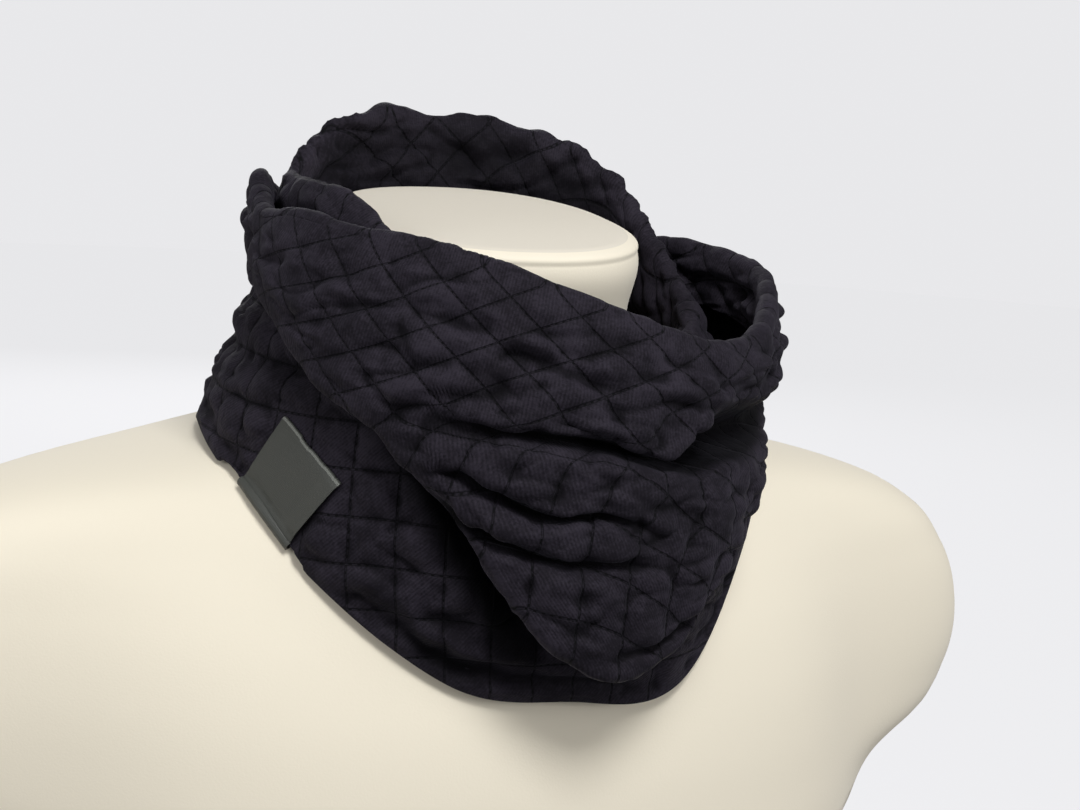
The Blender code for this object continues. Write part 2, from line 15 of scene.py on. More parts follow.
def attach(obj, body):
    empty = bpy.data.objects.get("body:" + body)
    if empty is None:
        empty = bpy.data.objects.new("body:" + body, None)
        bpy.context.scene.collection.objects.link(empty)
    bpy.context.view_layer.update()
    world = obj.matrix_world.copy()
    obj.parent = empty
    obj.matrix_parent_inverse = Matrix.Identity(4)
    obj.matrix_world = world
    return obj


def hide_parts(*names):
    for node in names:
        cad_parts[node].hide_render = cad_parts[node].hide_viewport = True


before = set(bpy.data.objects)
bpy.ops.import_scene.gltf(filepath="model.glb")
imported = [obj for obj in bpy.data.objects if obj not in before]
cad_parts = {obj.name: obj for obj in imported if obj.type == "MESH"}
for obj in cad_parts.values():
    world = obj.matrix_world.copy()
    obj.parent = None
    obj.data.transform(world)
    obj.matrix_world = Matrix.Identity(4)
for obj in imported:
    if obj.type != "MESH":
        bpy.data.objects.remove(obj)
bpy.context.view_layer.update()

bl_info = {
    "name": "Quilted Cowl on Dress Form",
    "version": (1, 0, 0),
    "blender": (4, 5, 0),
    "location": "View3D > Sidebar > Cowl",
    "description": "Builds a quilted jersey cowl scarf and the dress form that wears it",
    "category": "Object",
}

MM = 0.001

# ---------------------------------------------------------------- the solids' own forms (metres)
AXIS_X = 0.0047  # the cowl hangs a little to the wearer's left of the form's middle
AXIS_Y = -0.045  # and forward of it
MEAN_RADIUS = 0.11  # turns degrees round the cowl into lengths of cloth
WALL = 0.0026  # quilted jersey with its thin wadding
FOLD_RADIUS = 0.0016  # inside radius where the cloth turns back on itself
FACING = 0.050  # length turned in at the neck edge of the tube
FACING_LEAN = 0.002  # it leans in by this at its end
DRAPE_FACING = 0.022  # length turned in at the neck edge of the drape
DRAPE_RETURN = 0.014  # length turned up behind the drape's lower fold
FACING_SHARE = 0.45  # where the drape is short, they are these shares of its length at most
RETURN_SHARE = 0.30
FLARE_POWER = 0.8  # the drape flares out early on its way down
OVER_A_TURN = 0.0025  # length of cloth to the top of a turn
CLEAR_OF_FORM = 0.0005
INNER_CLEAR_OF_FORM = 0.0008
OUTER_CLEAR_OF_FORM = 0.0011
CLEAR_OF_TUBE = 0.0006
SEARCH_REACH = 0.03  # how far off a surface is looked for
NECK_LEAN = math.radians(6.2)
NECK_TILT_FROM = 0.425
NECK_TOP = 0.4953
ARM_STUB_DEPTH = 0.062
ARM_STUB_FULL = 0.004  # the stub is whole where it stands out from the chest by this
CHEST_ROUND, ARM_STUB_ROUND = 2.2, 2.4  # 2 is an ellipse, and more is squarer
SHOULDER_SHARP = 7  # how sharply the two meet
CAP_SHARES = (0.97, 0.85, 0.65, 0.4, 0.2)
CAP_RINGS = 3  # rings below the neck's top that take the neck cap's colour, a greyer, darker copy of the cover: painted shade

# The tables give lengths in millimetres and azimuths in degrees.
# Dress form, from the base up: height, half-width of the chest, half-width across the arm stubs,
# depth in front of the middle, depth behind it, and where the middle lies along Y.
FORM_SECTIONS = [
    (0, 162, 162, 108, 98, 0), (60, 172, 172, 118, 104, 0), (150, 188, 188, 130, 114, 0),
    (230, 192.5, 193.5, 136, 120, 0), (248, 192.5, 215, 137, 121, 0),
    (265, 192, 248, 136, 122, 0), (286, 191, 263, 134, 124, 0), (315, 188, 267, 128, 126, 0),
    (343, 180, 256, 118, 122, 0), (364.2, 169, 236, 106, 114, 0), (378.3, 156, 207, 96, 106, 0),
    (388.2, 141, 170, 88, 98, 0), (396.7, 115, 125, 80, 88, -2), (406, 84, 84, 72, 78, -6),
    (420, 69, 69, 68, 70, -14), (440, 63, 63, 65.5, 65.5, -22), (465, 62, 62, 65.5, 65.5, -29),
    (489, 62, 62, 65.5, 65.5, -34.5), (493.5, 60.5, 60.5, 64, 64, -34.5),
    (495.3, 56, 56, 59.5, 59.5, -34.5),
]

# Tube: azimuth, then radius and height at the neck edge, upper stretch, swell and hem.
TUBE_SECTIONS = [
    (-180, 93, 529, 99, 496, 115, 440, 137, 396.5), (-150, 93, 525, 98, 492, 113, 440, 130, 400),
    (-126, 90.5, 505, 93, 482, 108, 442, 122.5, 404),
    (-108, 84, 506, 88, 478, 104, 445, 116.5, 407), (-90, 80, 506, 87, 472, 105, 435, 114, 400),
    (-75, 78, 504, 90, 464, 105, 422, 109.5, 383), (-60, 75.5, 490, 92, 453, 104, 408, 106, 364),
    (-45, 75, 470, 94, 440, 103, 390, 99.5, 344), (-30, 76, 456, 92, 430, 102, 375, 93, 328),
    (0, 77, 448, 88, 420, 101, 365, 88, 321), (30, 77, 444, 85, 422, 98, 372, 95, 322),
    (60, 80, 450, 88, 434, 98, 408, 104, 366), (85, 85, 462, 93, 445, 104, 420, 116, 394),
    (105, 88, 480, 94, 460, 105, 430, 120, 402), (125, 92, 508, 96, 482, 110, 438, 124, 403),
    (150, 93, 525, 98, 492, 113, 440, 130, 400), (180, 93, 529, 99, 496, 115, 440, 137, 396.5),
]
TUBE_STATIONS = (0.0, 0.28, 0.66, 1.0)

# Drape: azimuth, radius and height of the neck edge, belly, radius and height of the lower fold.
DRAPE_SECTIONS = [
    (-180, 106, 468, 1.5, 108, 443), (-162, 106, 476, 1.5, 107, 450),
    (-146, 105, 489, 1, 106, 464), (-134, 104.5, 498, 0.5, 104.5, 479),
    (-124, 103, 505, 0.5, 103.5, 483), (-112, 98.5, 499, 0.5, 99, 478),
    (-95, 97.5, 493.5, 1, 100, 470), (-75, 98, 496.5, 2, 106, 460), (-58, 99, 493.5, 3, 112, 441),
    (-40, 101, 492, 4, 115, 421.5), (-25, 102.5, 485.5, 5, 117, 387),
    (-12, 104, 478.5, 6, 118, 355), (0, 105, 471, 6, 119, 341), (12, 106, 463.5, 6, 118.5, 346.5),
    (24, 107, 457.5, 6, 116.5, 364), (36, 108.5, 455.5, 5.5, 112, 380),
    (50, 109.5, 460, 5, 107.5, 393), (62, 109.5, 464.5, 4.5, 106.5, 400),
    (80, 108, 472.5, 3.5, 107, 412), (104, 105, 480, 2.5, 108, 426),
    (126, 105, 477, 2, 108.5, 437), (150, 106, 468, 1.5, 108.5, 441),
    (180, 106, 468, 1.5, 108, 443),
]

# Folds across the drape. Each row gives an azimuth and height on the fold's path, and its depth and
# half-width there. The cloth above hangs over it and the cloth below stands up to it.
DRAPE_FOLDS = [
    [
        (-42, 435, 0, 4), (-33, 432.5, 3, 4), (-26, 430.7, 5, 4.2), (-19, 429.1, 7, 4.5),
        (-12, 427.6, 9.5, 5), (-5, 425.8, 12.5, 5.8), (1, 423.5, 15, 6), (6, 419.8, 17, 5.5),
        (11, 416.6, 18.5, 5), (15, 416, 19.5, 5.6), (19, 419, 22.5, 7.5), (24, 421.8, 24, 9),
        (31, 422.8, 23.5, 9.8), (43, 423, 20, 9.5), (56, 423.8, 13, 8.5), (69, 425.7, 8, 7.5),
        (85, 428.5, 3, 6.5), (100, 430, 0, 6),
    ],
    [
        (-38, 416.5, 0, 3), (-30, 414.2, 4.5, 3), (-25.5, 410.8, 6.5, 3.2), (-21, 406.3, 8, 3.4),
        (-16.5, 401.6, 9, 3.6), (-11.5, 398.8, 8.5, 3.6), (-7, 399.4, 7, 3.2), (-3, 400, 5.5, 3),
        (2, 397.2, 4, 3), (7, 393, 2, 3), (12, 389, 0, 3),
    ],
    [
        (-40, 413, 4, 3.4), (-34, 404.8, 6.5, 3.6), (-30, 399.3, 9, 3.8), (-25.7, 394, 11, 4),
        (-21, 389.8, 11, 4), (-16.9, 386.5, 9.5, 4), (-12, 383.6, 8, 3.8), (-8, 382.2, 6.5, 3.6),
        (-3.4, 382.2, 5.5, 3.4), (2, 381.8, 4, 3.4), (7, 380.3, 2.5, 3.4), (13, 377.5, 0, 3.4),
    ],
    [
        (-4, 344.5, 0, 2.8), (3, 347, 2.2, 2.8), (9, 349.5, 3.6, 3), (17, 357.3, 4.4, 3.2),
        (24, 366.5, 5, 3.4), (30, 376.8, 4.6, 3.4), (36, 388.5, 2.6, 3.4), (41, 397, 0, 3.4),
    ],
]
FOLD_HANG = 0.42  # how far the cloth hangs over a fold, as a share of the fold's depth
FOLD_SWELL = 0.22  # and how far it swells out above it
FOLD_STAND = 0.20  # and the cloth below swells and stands up by this
SWELL_ABOVE = (1.7, 1.2)  # where the swells lie and how wide they are, in the fold's half-widths
SWELL_BELOW = (-1.6, 1.0)
HOLLOW_AT_LEFT = (6.0, 16.0)  # azimuths past which the main fold opens, with nothing over it
HOLLOW_OPENS = 0.9

# The tube sinks in beside the drape's left edge, where that edge stands over it, and a painted
# shadow of that edge is drawn in the groove.
TUBE_GROOVE = [
    (-52, 440, 3, 5.6), (-43, 427.5, 9, 5.4), (-36.6, 415.5, 12.5, 5.4), (-28, 393, 14, 5.4),
    (-23.6, 382, 13, 5.4), (-16.8, 361, 11, 5.2), (-11.5, 350.5, 7, 5), (-5, 341, 2, 5),
    (2, 338, 0, 5),
]
GROOVE_FULL = 0.0125  # its painted shadow is darkest where it is this deep

# Slouched folds across the tube: azimuth, share of the way down, half length in degrees, climb,
# depth.
SLOUCH_FOLDS = [
    (172, 0.22, 66, 0.08, 4.5), (-164, 0.5, 70, -0.12, 14), (142, 0.7, 56, 0.1, 11),
    (-18, 0.88, 38, 0.03, 4.5), (62, 0.8, 26, -0.05, 5),
]
SLOUCH_WIDTH = 0.100

# The valley along the front of the tube above its hem, with a roll of cloth above it.
HEM_VALLEY = [
    (-58, 373.5, 0, 4.6), (-50, 360, 1.4, 4.6), (-42.1, 350.3, 3.8, 4.8), (-37, 343.4, 5.4, 5),
    (-30.4, 337.2, 5.8, 5), (-20.9, 333.8, 4.8, 4.8), (-10.7, 330.9, 3.6, 4.6),
    (4.6, 329, 1.5, 4.4), (18, 329, 0, 4.4),
]
# painted shade in the valley is darkest where it is this deep
VALLEY_FULL = 0.0058
VALLEY_SINK = 0.30  # the share of its depth by which it sinks in
VALLEY_SWELL = 0.85  # and by which the roll stands out

# Creases listed for the drape: azimuth, climb in degrees, height, half length, depth, width.
DRAPE_CREASES = [
    (-30, -18, 466, 14, 1.2, 2.2), (-18, -14, 456, 18, 1.4, 2.4), (-8, -16, 449, 15, 1.2, 2),
    (-24, -10, 445, 16, 1.1, 2.2), (4, -13, 442, 17, 1.4, 2.2), (-9, -6, 436.5, 14, 1.3, 2),
    (14, -12, 439, 13, 1.2, 2), (24, -9, 436, 16, 1.3, 2.4), (6, -8, 432, 19, 1.4, 2.2),
    (34, 6, 442, 14, 1.2, 2.2), (47, 14, 444, 17, 1.3, 2.4), (-44, -16, 456, 15, 1.2, 2.2),
    (-55, -10, 470, 13, 1.1, 2.2), (60, 10, 448, 16, 1.6, 2.6), (76, 4, 456, 18, 1.8, 2.6),
    (88, -3, 466, 20, 1.8, 2.4), (92, 5, 444, 18, 1.6, 2.6), (112, 12, 460, 20, 1.6, 2.8),
    (138, -8, 456, 22, 1.4, 2.8), (166, 6, 457, 18, 1.3, 2.6), (-168, -10, 459, 20, 1.4, 2.6),
    (-142, -14, 478, 16, 1.2, 2.4), (-104, 4, 486, 14, 1.2, 2.2), (-78, 9, 480, 16, 1.2, 2.4),
]
CREASE_DEEPER = 1.7  # a crease is drawn deeper and wider than the table says, with a ridge
CREASE_WIDER = 1.15
CREASE_RIDGE = 0.45

# Wrinkles of the worn cloth: size across and down, and a shift of the noise, for the broad and the
# fine ones, then the height of the broad ones, of the sharp creases between them and of the fine.
TUBE_RUMPLES = ((0.024, 0.011, 3.1), (0.009, 0.006, 7.7), (0.0018, 0.0014, 0.0010))
DRAPE_RUMPLES = ((0.022, 0.0085, 1.3), (0.009, 0.005, 5.2), (0.0024, 0.0017, 0.0011))
BACK_RUMPLES = 0.9  # they are higher by this share behind the neck
CALM_SHARE, CALM_AZIMUTH, CALM_TURN = 0.45, -78, 34  # and lower where the drape is pulled taut
EDGE_FLAT = (0.001, 0.010)  # squares are flatter near a turned edge
TUBE_EDGE_LEFT, DRAPE_EDGE_LEFT = 0.4, 0.35  # and these shares of their height are left on it
FLAT_WHEN_SUNK, SUNK_LEFT = 0.006, 0.15  # and where a fold takes the cloth in, with a share left
BACK_LEVELS, BACK_AZIMUTHS = (0.02, 0.05), (110, 140)  # where the cloth behind the neck begins

# Painted shade: how dark the cloth's colour is drawn in its hollows and between its squares, from 0
# to 1, and how deep they are where that starts and is full. The groove beside the drape gets a
# painted shadow, and the valley above the hem, the drape's folds and the turned-in facing get
# painted shade.
# The groove and the valley are given in half-widths of their paths.
TUBE_HOLLOWS, DRAPE_HOLLOWS = (0.0012, 0.0055), (0.0010, 0.0050)
SMALL_SHADE, SMALL_HOLLOWS = 0.70, (0.0001, 0.0009)
FOLD_SHADE, FOLD_SUNK = 0.98, (0.0015, 0.0075)
GROOVE_SHADOW, GROOVE_AT, GROOVE_WIDE = 0.96, -0.9, 2.1
VALLEY_SHADE, VALLEY_WIDE = 0.97, 1.15
INSIDE_SHADE, INSIDE_TO = 0.55, (0.28, 0.20)  # painted shade on the turned-in facing; shares of the tube's rows, from its turned-in end

# ---------------------------------------------------------------- mesh detail
TUBE_COLUMNS = DRAPE_COLUMNS = 540
TUBE_ROWS = 160
DRAPE_ROWS = 180
SEAT_COLUMNS, SEAT_ROWS = 120, 44
FORM_COLUMNS = 240
FORM_RINGS = ((0.0, 0.24, 40), (0.243, 0.488, 110), (0.4885, NECK_TOP, 20))
TUBE_FACING_STEPS, DRAPE_FACING_STEPS, RETURN_STEPS, TURN_STEPS = 59, 39, 19, 9
BODY_STEPS = 400
HEM_ROWS = (0.0025, 0.005, 0.010)  # how far the hem's turned edge climbs inside
LABEL_COLUMNS, LABEL_ROWS = 60, 90
SHARP_EDGE = math.radians(50)

# ---------------------------------------------------------------- the quilting's own layout
LEVEL_FROM = 0.4750  # the tube's coordinates are counted up and down from this height
DRAPE_TOP = 0.4517  # the drape's, down from this one
SQUARES_ROUND = 34  # upright lines round the tube, where they stand upright
UPRIGHT_LINE = -21.3  # the azimuth of one of them
LEVEL_LINE_BELOW = 0.1148  # how far below that height one of the tube's level lines lies
# Over the drape's main fold, each set of lines: how many a turn, their distance apart down the
# cloth, and where they start. The first set bows by this share of a square.
STEEP_LINES = (16, 0.01428, -3.43)
SHALLOW_LINES = (34, -0.01889, 4.757)
LINES_BOW = 0.17
# Below the drape's main fold its lines are level and upright: azimuth and height of one level line.
LEVEL_LINE = [
    (-43, 431.1), (-36.5, 429.8), (-29.4, 428.7), (-22.5, 427.2), (-19.1, 425.8), (-11.9, 422.7),
    (-4, 418.5), (-0.5, 415.5), (8.1, 405.6), (16.1, 394.8), (24, 386), (34, 375), (46, 364),
    (60, 356),
]
UPRIGHT_STEP = 8.6  # degrees between the upright ones
UPRIGHT_START = 8.5
UPRIGHT_LEAN = 7.6
LEVEL_STEP = 0.0195
LEVEL_LEAN_OVER = 0.018  # they lean out to this depth below that line
LOWER_FROM = (-50, -38)  # azimuths between which the lower lines begin,
LOWER_TO = (35, 105)  # run out into the upper ones,
LOWER_JUMP = (6, -6)  # which they meet so many squares on,
LINES_PART = (-6, 12)  # and past which the two sets no longer run into each other
LINES_MEET = 1.8  # how near the fold they do, in its half-widths
BELOW_FROM = -49
DIAMONDS_LEFT = (20, 100)  # azimuths over which the tube's squares turn into diamonds
DIAMONDS_RIGHT = (-165, -98)
PILLOW_POWER = 2.2

# ---------------------------------------------------------------- label
LABEL_WIDTH = 0.0345
LABEL_HEIGHT = 0.0362
LABEL_TURN_UP = 0.010
LABEL_THICKNESS = 0.0008
LABEL_AZIMUTH = -74.5  # where its middle crosses the hem
LABEL_LIFT = 0.0020  # the hem stands off the form where the label is folded under it
LABEL_LIFT_TURN = 24.0  # degrees to each side
LABEL_LIFT_HEIGHT = 0.012
LABEL_GAP = 0.0012  # between the cloth's inner side and the label's turn-up
LABEL_DROP = 0.0013  # the fold hangs below the hem by this
PRESSED_IN = 0.0008  # the cloth is pressed in under the label
LABEL_OFF_CLOTH = 0.0007  # and the label's front lies over it by this
PRESSED_SIDE = (0.0185, 0.0225)
PRESSED_CLIMB = (0.036, 0.040)
PRESSED_REACH = 0.06
# Shares of the label's length: where it bridges the cloth's dents, and where its face is free.
LABEL_BRIDGES = ((0.27, 0.36), (0.86, 0.93))
LABEL_FREE = ((0.36, 0.5), (0.93, 1.0))
LABEL_BOW = 0.0003
LABEL_EDGE_OFF, LABEL_EDGE = 0.0009, (0.55, 1.0)  # its edge stands off by this, over this stretch
LABEL_EASED = 9  # the bridge evens out so many rows to each side
LABEL_SEEN_AT = 0.02  # a place on its face, up from the hem

# ---------------------------------------------------------------- patterns of the cloths
# Noise is given by its size, detail and distortion. The jersey's fibres are far too fine to show,
# so its fuzz is drawn as tufts, 1.1 mm across.
FUZZ = (10 * MM / 9, 4.0, 0.0)
WADDING = (25 * MM, 3.0, 0.0)  # lumps of wadding under the cloth, about a square across; the colour goes lighter and darker with them, random tone with painted sheen
CRUMPLE = (20 * MM / 3, 2.0, 0.6)  # soft crumples of washed jersey, in the relief and, as painted sheen and shade, in the colour
# The form's knit is 0.4 mm from loop to loop and the label's threads are 0.1 mm. Both are drawn
# coarser, so that a render can show them.
FORM_KNIT = (10 * MM / 11, 3.0, 0.0)
LABEL_THREADS = (5 * MM / 13, 3.0, 0.0)
LABEL_RIBS = 0.5 * MM  # real ones are 0.25 mm apart, too fine for a render
LABEL_WARP = 0.7 * MM
LABEL_STRIP = (0.4 * MM, 1.4 * MM)  # the pale thread, down from the label's upper edge
LINE_SHARE = (0.010, 0.040)  # a quilting line's half-width and soft edge, in squares
THREAD_SHARE = 0.013

# ---------------------------------------------------------------- studio (metres, watts)
FLOOR_RADIUS = 4.2
LAMPS = [
    # name, place, aimed at, width and height, power
    ("softbox_above", (-0.06, -1.15, 1.75), (0, -0.05, 0.42), (0.55, 0.55), 22.5),
    ("window_left", (-1.75, -0.45, 1.05), (0, -0.05, 0.42), (0.8, 0.9), 10.5),
    ("fill_right", (1.35, -1.25, 0.60), (0, -0.05, 0.45), (0.5, 0.5), 7.5),
    ("window_behind", (0.70, 2.30, 1.00), (0, 0, 0.30), (1.2, 1.2), 16.0),
]
ROOM_COLOUR = (1.0, 0.99, 1.0, 1.0)
ROOM_LIGHT = 0.24
# The photograph's viewing angle: where the camera stands, and its own right, up and back.
CAMERA_PLACE = (-0.36886, -0.87399, 0.57977)
CAMERA_AXES = (
    (0.90545, -0.42026, 0.05953), (0.01975, 0.18180, 0.98314), (-0.42400, -0.88901, 0.17291)
)
CAMERA_LENS, CAMERA_SENSOR = 75.0, 36.0  # millimetres


# ---------------------------------------------------------------- small helpers
def smooth(place, values, positions, periodic=False):
    """Read values given at places, at other positions, on a smooth curve through them."""
    place, values, positions = (np.array(a, dtype=float) for a in (place, values, positions))
    slopes = np.gradient(values, place, axis=0)
    if periodic:
        joined = (values[1] - values[-2]) / ((place[1] - place[0]) + (place[-1] - place[-2]))
        slopes[0] = slopes[-1] = joined
    i = np.clip(np.searchsorted(place, positions) - 1, 0, len(place) - 2)
    shape = (-1,) + (1,) * (values.ndim - 1)
    step = (place[i + 1] - place[i]).reshape(shape)
    t = (positions - place[i]).reshape(shape) / step
    return (
        (2 * t**3 - 3 * t**2 + 1) * values[i]
        + (t**3 - 2 * t**2 + t) * slopes[i] * step
        + (3 * t**2 - 2 * t**3) * values[i + 1]
        + (t**3 - t**2) * slopes[i + 1] * step
    )


def read_table(table, positions, periodic=False):
    """The lengths in a table, in metres, read at positions of its first column."""
    rows = np.array(table, dtype=float)
    return smooth(rows[:, 0], rows[:, 1:] * MM, positions, periodic).T


def turned(azimuths, radius, height):
    """Points at azimuths, in degrees, round the cowl's axis."""
    a = np.radians(azimuths)
    x, y = AXIS_X + radius * np.sin(a), AXIS_Y - radius * np.cos(a)
    return np.stack([x, y, np.broadcast_to(height, x.shape)], axis=-1)


def once_round(columns):
    """The azimuths of so many columns, spread evenly round from behind."""
    return -180.0 + 360.0 * np.arange(columns) / columns


def bell(x, centre=0.0, width=1.0):
    """1 at the centre, falling off to each side as a bell does."""
    return np.exp(-(((x - centre) / width) ** 2))


def outward_at(azimuths):
    """Unit vectors level and away from the cowl's axis."""
    return turned(azimuths, 1.0, 0.0) - turned(azimuths, 0.0, 0.0)


def fade(x):
    """1 at 0, falling smoothly to 0 at 1 and beyond."""
    return (1 - np.clip(np.abs(x), 0, 1) ** 2) ** 2


def ease(x, start, end):
    """0 before start and 1 after end, with a smooth step between them."""
    t = np.clip((x - start) / (end - start), 0, 1)
    return t * t * (3 - 2 * t)


def angle_between(a, b):
    """The signed turn from azimuth b to azimuth a, in degrees."""
    return (a - b + 180.0) % 360.0 - 180.0


def blurred_round(values, sigma_degrees):
    """Values round the cloth, smoothed with a bell of that width."""
    n = len(values)
    turn = angle_between(np.arange(n) * 360.0 / n, 0.0)
    weights = np.exp(-0.5 * (turn / sigma_degrees) ** 2)
    return np.real(np.fft.ifft(np.fft.fft(values) * np.fft.fft(weights / weights.sum())))


def grid_normals(grid):
    """Unit normals of a grid of points [column, row] that closes round its columns."""
    along = np.roll(grid, -1, axis=0) - np.roll(grid, 1, axis=0)
    normal = np.cross(np.gradient(grid, axis=1), along)
    return normal / np.linalg.norm(normal, axis=2, keepdims=True)


def resampled(guide, rows, *kept):
    """Values down each column, read at places spread evenly along the column of a guide."""
    steps = np.linalg.norm(np.diff(guide, axis=1), axis=2)
    travelled = np.concatenate([np.zeros((len(guide), 1)), np.cumsum(steps, axis=1)], axis=1)
    wanted = [np.linspace(0, line[-1], rows) for line in travelled]
    return [
        np.array([np.interp(w, t, v) for w, t, v in zip(wanted, travelled, values)])
        for values in kept
    ]


def hollows(grid, around=13, down=11):
    """How far each point lies below its surroundings, so many columns and rows to each side."""
    level = sum(np.roll(grid, k, axis=0) for k in range(-around, around + 1)) / (2 * around + 1)
    level = np.pad(level, ((0, 0), (down, down), (0, 0)), mode="edge")
    level = sum(level[:, k : k + grid.shape[1]] for k in range(2 * down + 1)) / (2 * down + 1)
    return ((level - grid) * grid_normals(grid)).sum(axis=2)


def surface_of(obj):
    """A search tree over an object's faces."""
    return BVHTree.FromObject(obj, bpy.context.evaluated_depsgraph_get())


def kept_clear(grid, surface, gap):
    """A grid of points, moved out of a surface to stay clear of it by gap."""
    moved = grid.reshape(-1, 3).copy()
    gaps = np.broadcast_to(gap, grid.shape[:-1]).ravel()
    for index, place in enumerate(moved):
        near, normal, _, _ = surface.find_nearest(Vector(place), SEARCH_REACH)
        if near is not None:
            short = gaps[index] - (Vector(place) - near).dot(normal)
            if short > 0:
                moved[index] = place + np.array(normal) * short
    return moved.reshape(grid.shape)


def soft_noise(points, wide, high, shift):
    """Soft noise from -1 to 1 over points, stretched sideways."""
    scaled = points.reshape(-1, 3) / (wide, wide, high) + shift
    return np.array([noise.noise(place) for place in scaled]).reshape(points.shape[:-1])


def rumpled(points, rumples):
    """How far the worn cloth's wrinkles stand up: broad ones, creases between them, fine ones."""
    broad, fine, heights = rumples
    wave = soft_noise(points, *broad)
    creases = np.clip(1 - 4 * np.abs(wave), 0, 1)
    return heights[0] * wave - heights[1] * creases + heights[2] * soft_noise(points, *fine)


def corners_of(values):
    """Values on a grid of points, given again at the four corners of each face."""
    return np.stack([values[:-1, :-1], values[:-1, 1:], values[1:, 1:], values[1:, :-1]], axis=2)


def grid_faces(columns, rows):
    """The faces of a grid of points that closes round its columns."""
    i, j = np.meshgrid(np.arange(columns + 1) % columns, np.arange(rows), indexing="ij")
    return corners_of(i * rows + j).reshape(-1, 4).tolist()


def linked(name, data):
    """A new object in the scene that shows a mesh, light or camera."""
    made = bpy.data.objects.new(name, data)
    bpy.context.scene.collection.objects.link(made)
    return made


def grid_object(name, grid, quilt, painted_shade, finish):
    """A closed-round mesh over a grid of points, with the quilting's coordinates at each face's
    corners, and how much painted shade each point's colour takes, from 0 to 1."""
    mesh = bpy.data.meshes.new(name)
    mesh.from_pydata(grid.reshape(-1, 3), [], grid_faces(*grid.shape[:2]))
    layer = mesh.uv_layers.new(name="quilt")
    layer.data.foreach_set("uv", quilt.astype(np.float32).ravel())
    depth = mesh.attributes.new("painted_shade", "FLOAT", "POINT")
    depth.data.foreach_set("value", np.clip(painted_shade, 0, 1).astype(np.float32).ravel())
    mesh.materials.append(finish)
    mesh.shade_smooth()
    mesh.update()
    return linked(name, mesh)


def linear(hex_colour):
    """A linear RGBA colour from an sRGB hex value."""
    parts = [int(hex_colour[k : k + 2], 16) / 255 for k in (1, 3, 5)]
    return [c / 12.92 if c <= 0.04045 else ((c + 0.055) / 1.055) ** 2.4 for c in parts] + [1.0]


# ---------------------------------------------------------------- what a user can change
class CowlSizes(bpy.types.PropertyGroup):
    """Sizes of the quilting and its sewing."""

    diamond_side: bpy.props.FloatProperty(
        name="Quilting Square", description="Side of a quilted square",
        default=0.0177, unit="LENGTH",
    )
    puff: bpy.props.FloatProperty(
        name="Puff", description="How far the middle of a square stands up",
        default=0.0019, unit="LENGTH",
    )
    wale: bpy.props.FloatProperty(
        name="Knit Wale", description="Width of one column of knit stitches, as it is drawn",
        default=0.00115, unit="LENGTH",
    )
    stitch: bpy.props.FloatProperty(
        name="Stitch", description="Length of one sewn stitch", default=0.003, unit="LENGTH"
    )
    hem: bpy.props.FloatProperty(
        name="Hem", description="Depth of the turned hem", default=0.010, unit="LENGTH"
    )


class CowlColours(bpy.types.PropertyGroup):
    """Colours as sRGB hex values."""

    jersey: bpy.props.StringProperty(
        name="Jersey", description="Quilted jersey", default="#232027"
    )
    thread: bpy.props.StringProperty(
        name="Thread", description="Quilting thread", default="#0B0B0D"
    )
    # painted shade: the near black that the jersey's colour is mixed towards in folds and hollows
    painted_shade: bpy.props.StringProperty(
        name="Hollows", description="Jersey at the bottom of a fold", default="#020203"
    )
    label: bpy.props.StringProperty(
        name="Label", description="Woven satin label", default="#40423E"
    )
    label_strip: bpy.props.StringProperty(
        name="Label Strip", description="Thread along the label's upper edge", default="#8A8D87"
    )
    form: bpy.props.StringProperty(
        name="Form Cover", description="Jersey cover of the form", default="#EDE5D2"
    )
    # painted shade: a greyer, darker copy of the form's cream cover, for the neck cap's top, which
    # faces up away from the lamps
    cap: bpy.props.StringProperty(
        name="Neck Cap", description="Jersey over the neck cap", default="#DCD5C6"
    )
    paper: bpy.props.StringProperty(
        name="Paper", description="Floor and backdrop", default="#E3E3E5"
    )
    paper_shade: bpy.props.StringProperty(
        name="Paper Shade", description="What the studio's lights and shadows add to it",
        default="#626264",
    )


# ---------------------------------------------------------------- materials
def new_material(name):
    """A material with only a Principled shader: the material, its node tree and that shader."""
    made = bpy.data.materials.new(name)
    made.use_nodes = True
    return made, made.node_tree, made.node_tree.nodes["Principled BSDF"]


def fill(tree, node, sockets):
    """Fill a node's sockets, in order or by name, with links or with plain values."""
    for key, value in sockets.items() if isinstance(sockets, dict) else enumerate(sockets):
        if isinstance(value, bpy.types.NodeSocket):
            tree.links.new(value, node.inputs[key])
        else:
            node.inputs[key].default_value = value


def add_node(tree, kind, sockets=(), output=0, **settings):
    """Add a node of a kind, such as "Math ADD", with its settings. Fill its sockets, and give one
    of its outputs."""
    kind, *operation = kind.split()
    made = tree.nodes.new("ShaderNode" + kind)
    if operation:
        made.operation = operation[0]
    for key, value in settings.items():
        setattr(made, key, value)
    fill(tree, made, sockets)
    return made.outputs[output]


def set_stops(ramp, colour, *stops):
    """Set a colour ramp's stops. Each is a place on it and a share of the colour's brightness."""
    for element, (place, share) in zip(ramp.node.color_ramp.elements, stops):
        element.position = place
        element.color = [c * share for c in linear(colour)[:3]] + [1.0]


def noise_sockets(place, size, detail, distortion):
    """What a noise is given, from where it lies and a real size in metres."""
    return {"Vector": place, "Scale": 1 / size, "Detail": detail, "Distortion": distortion}


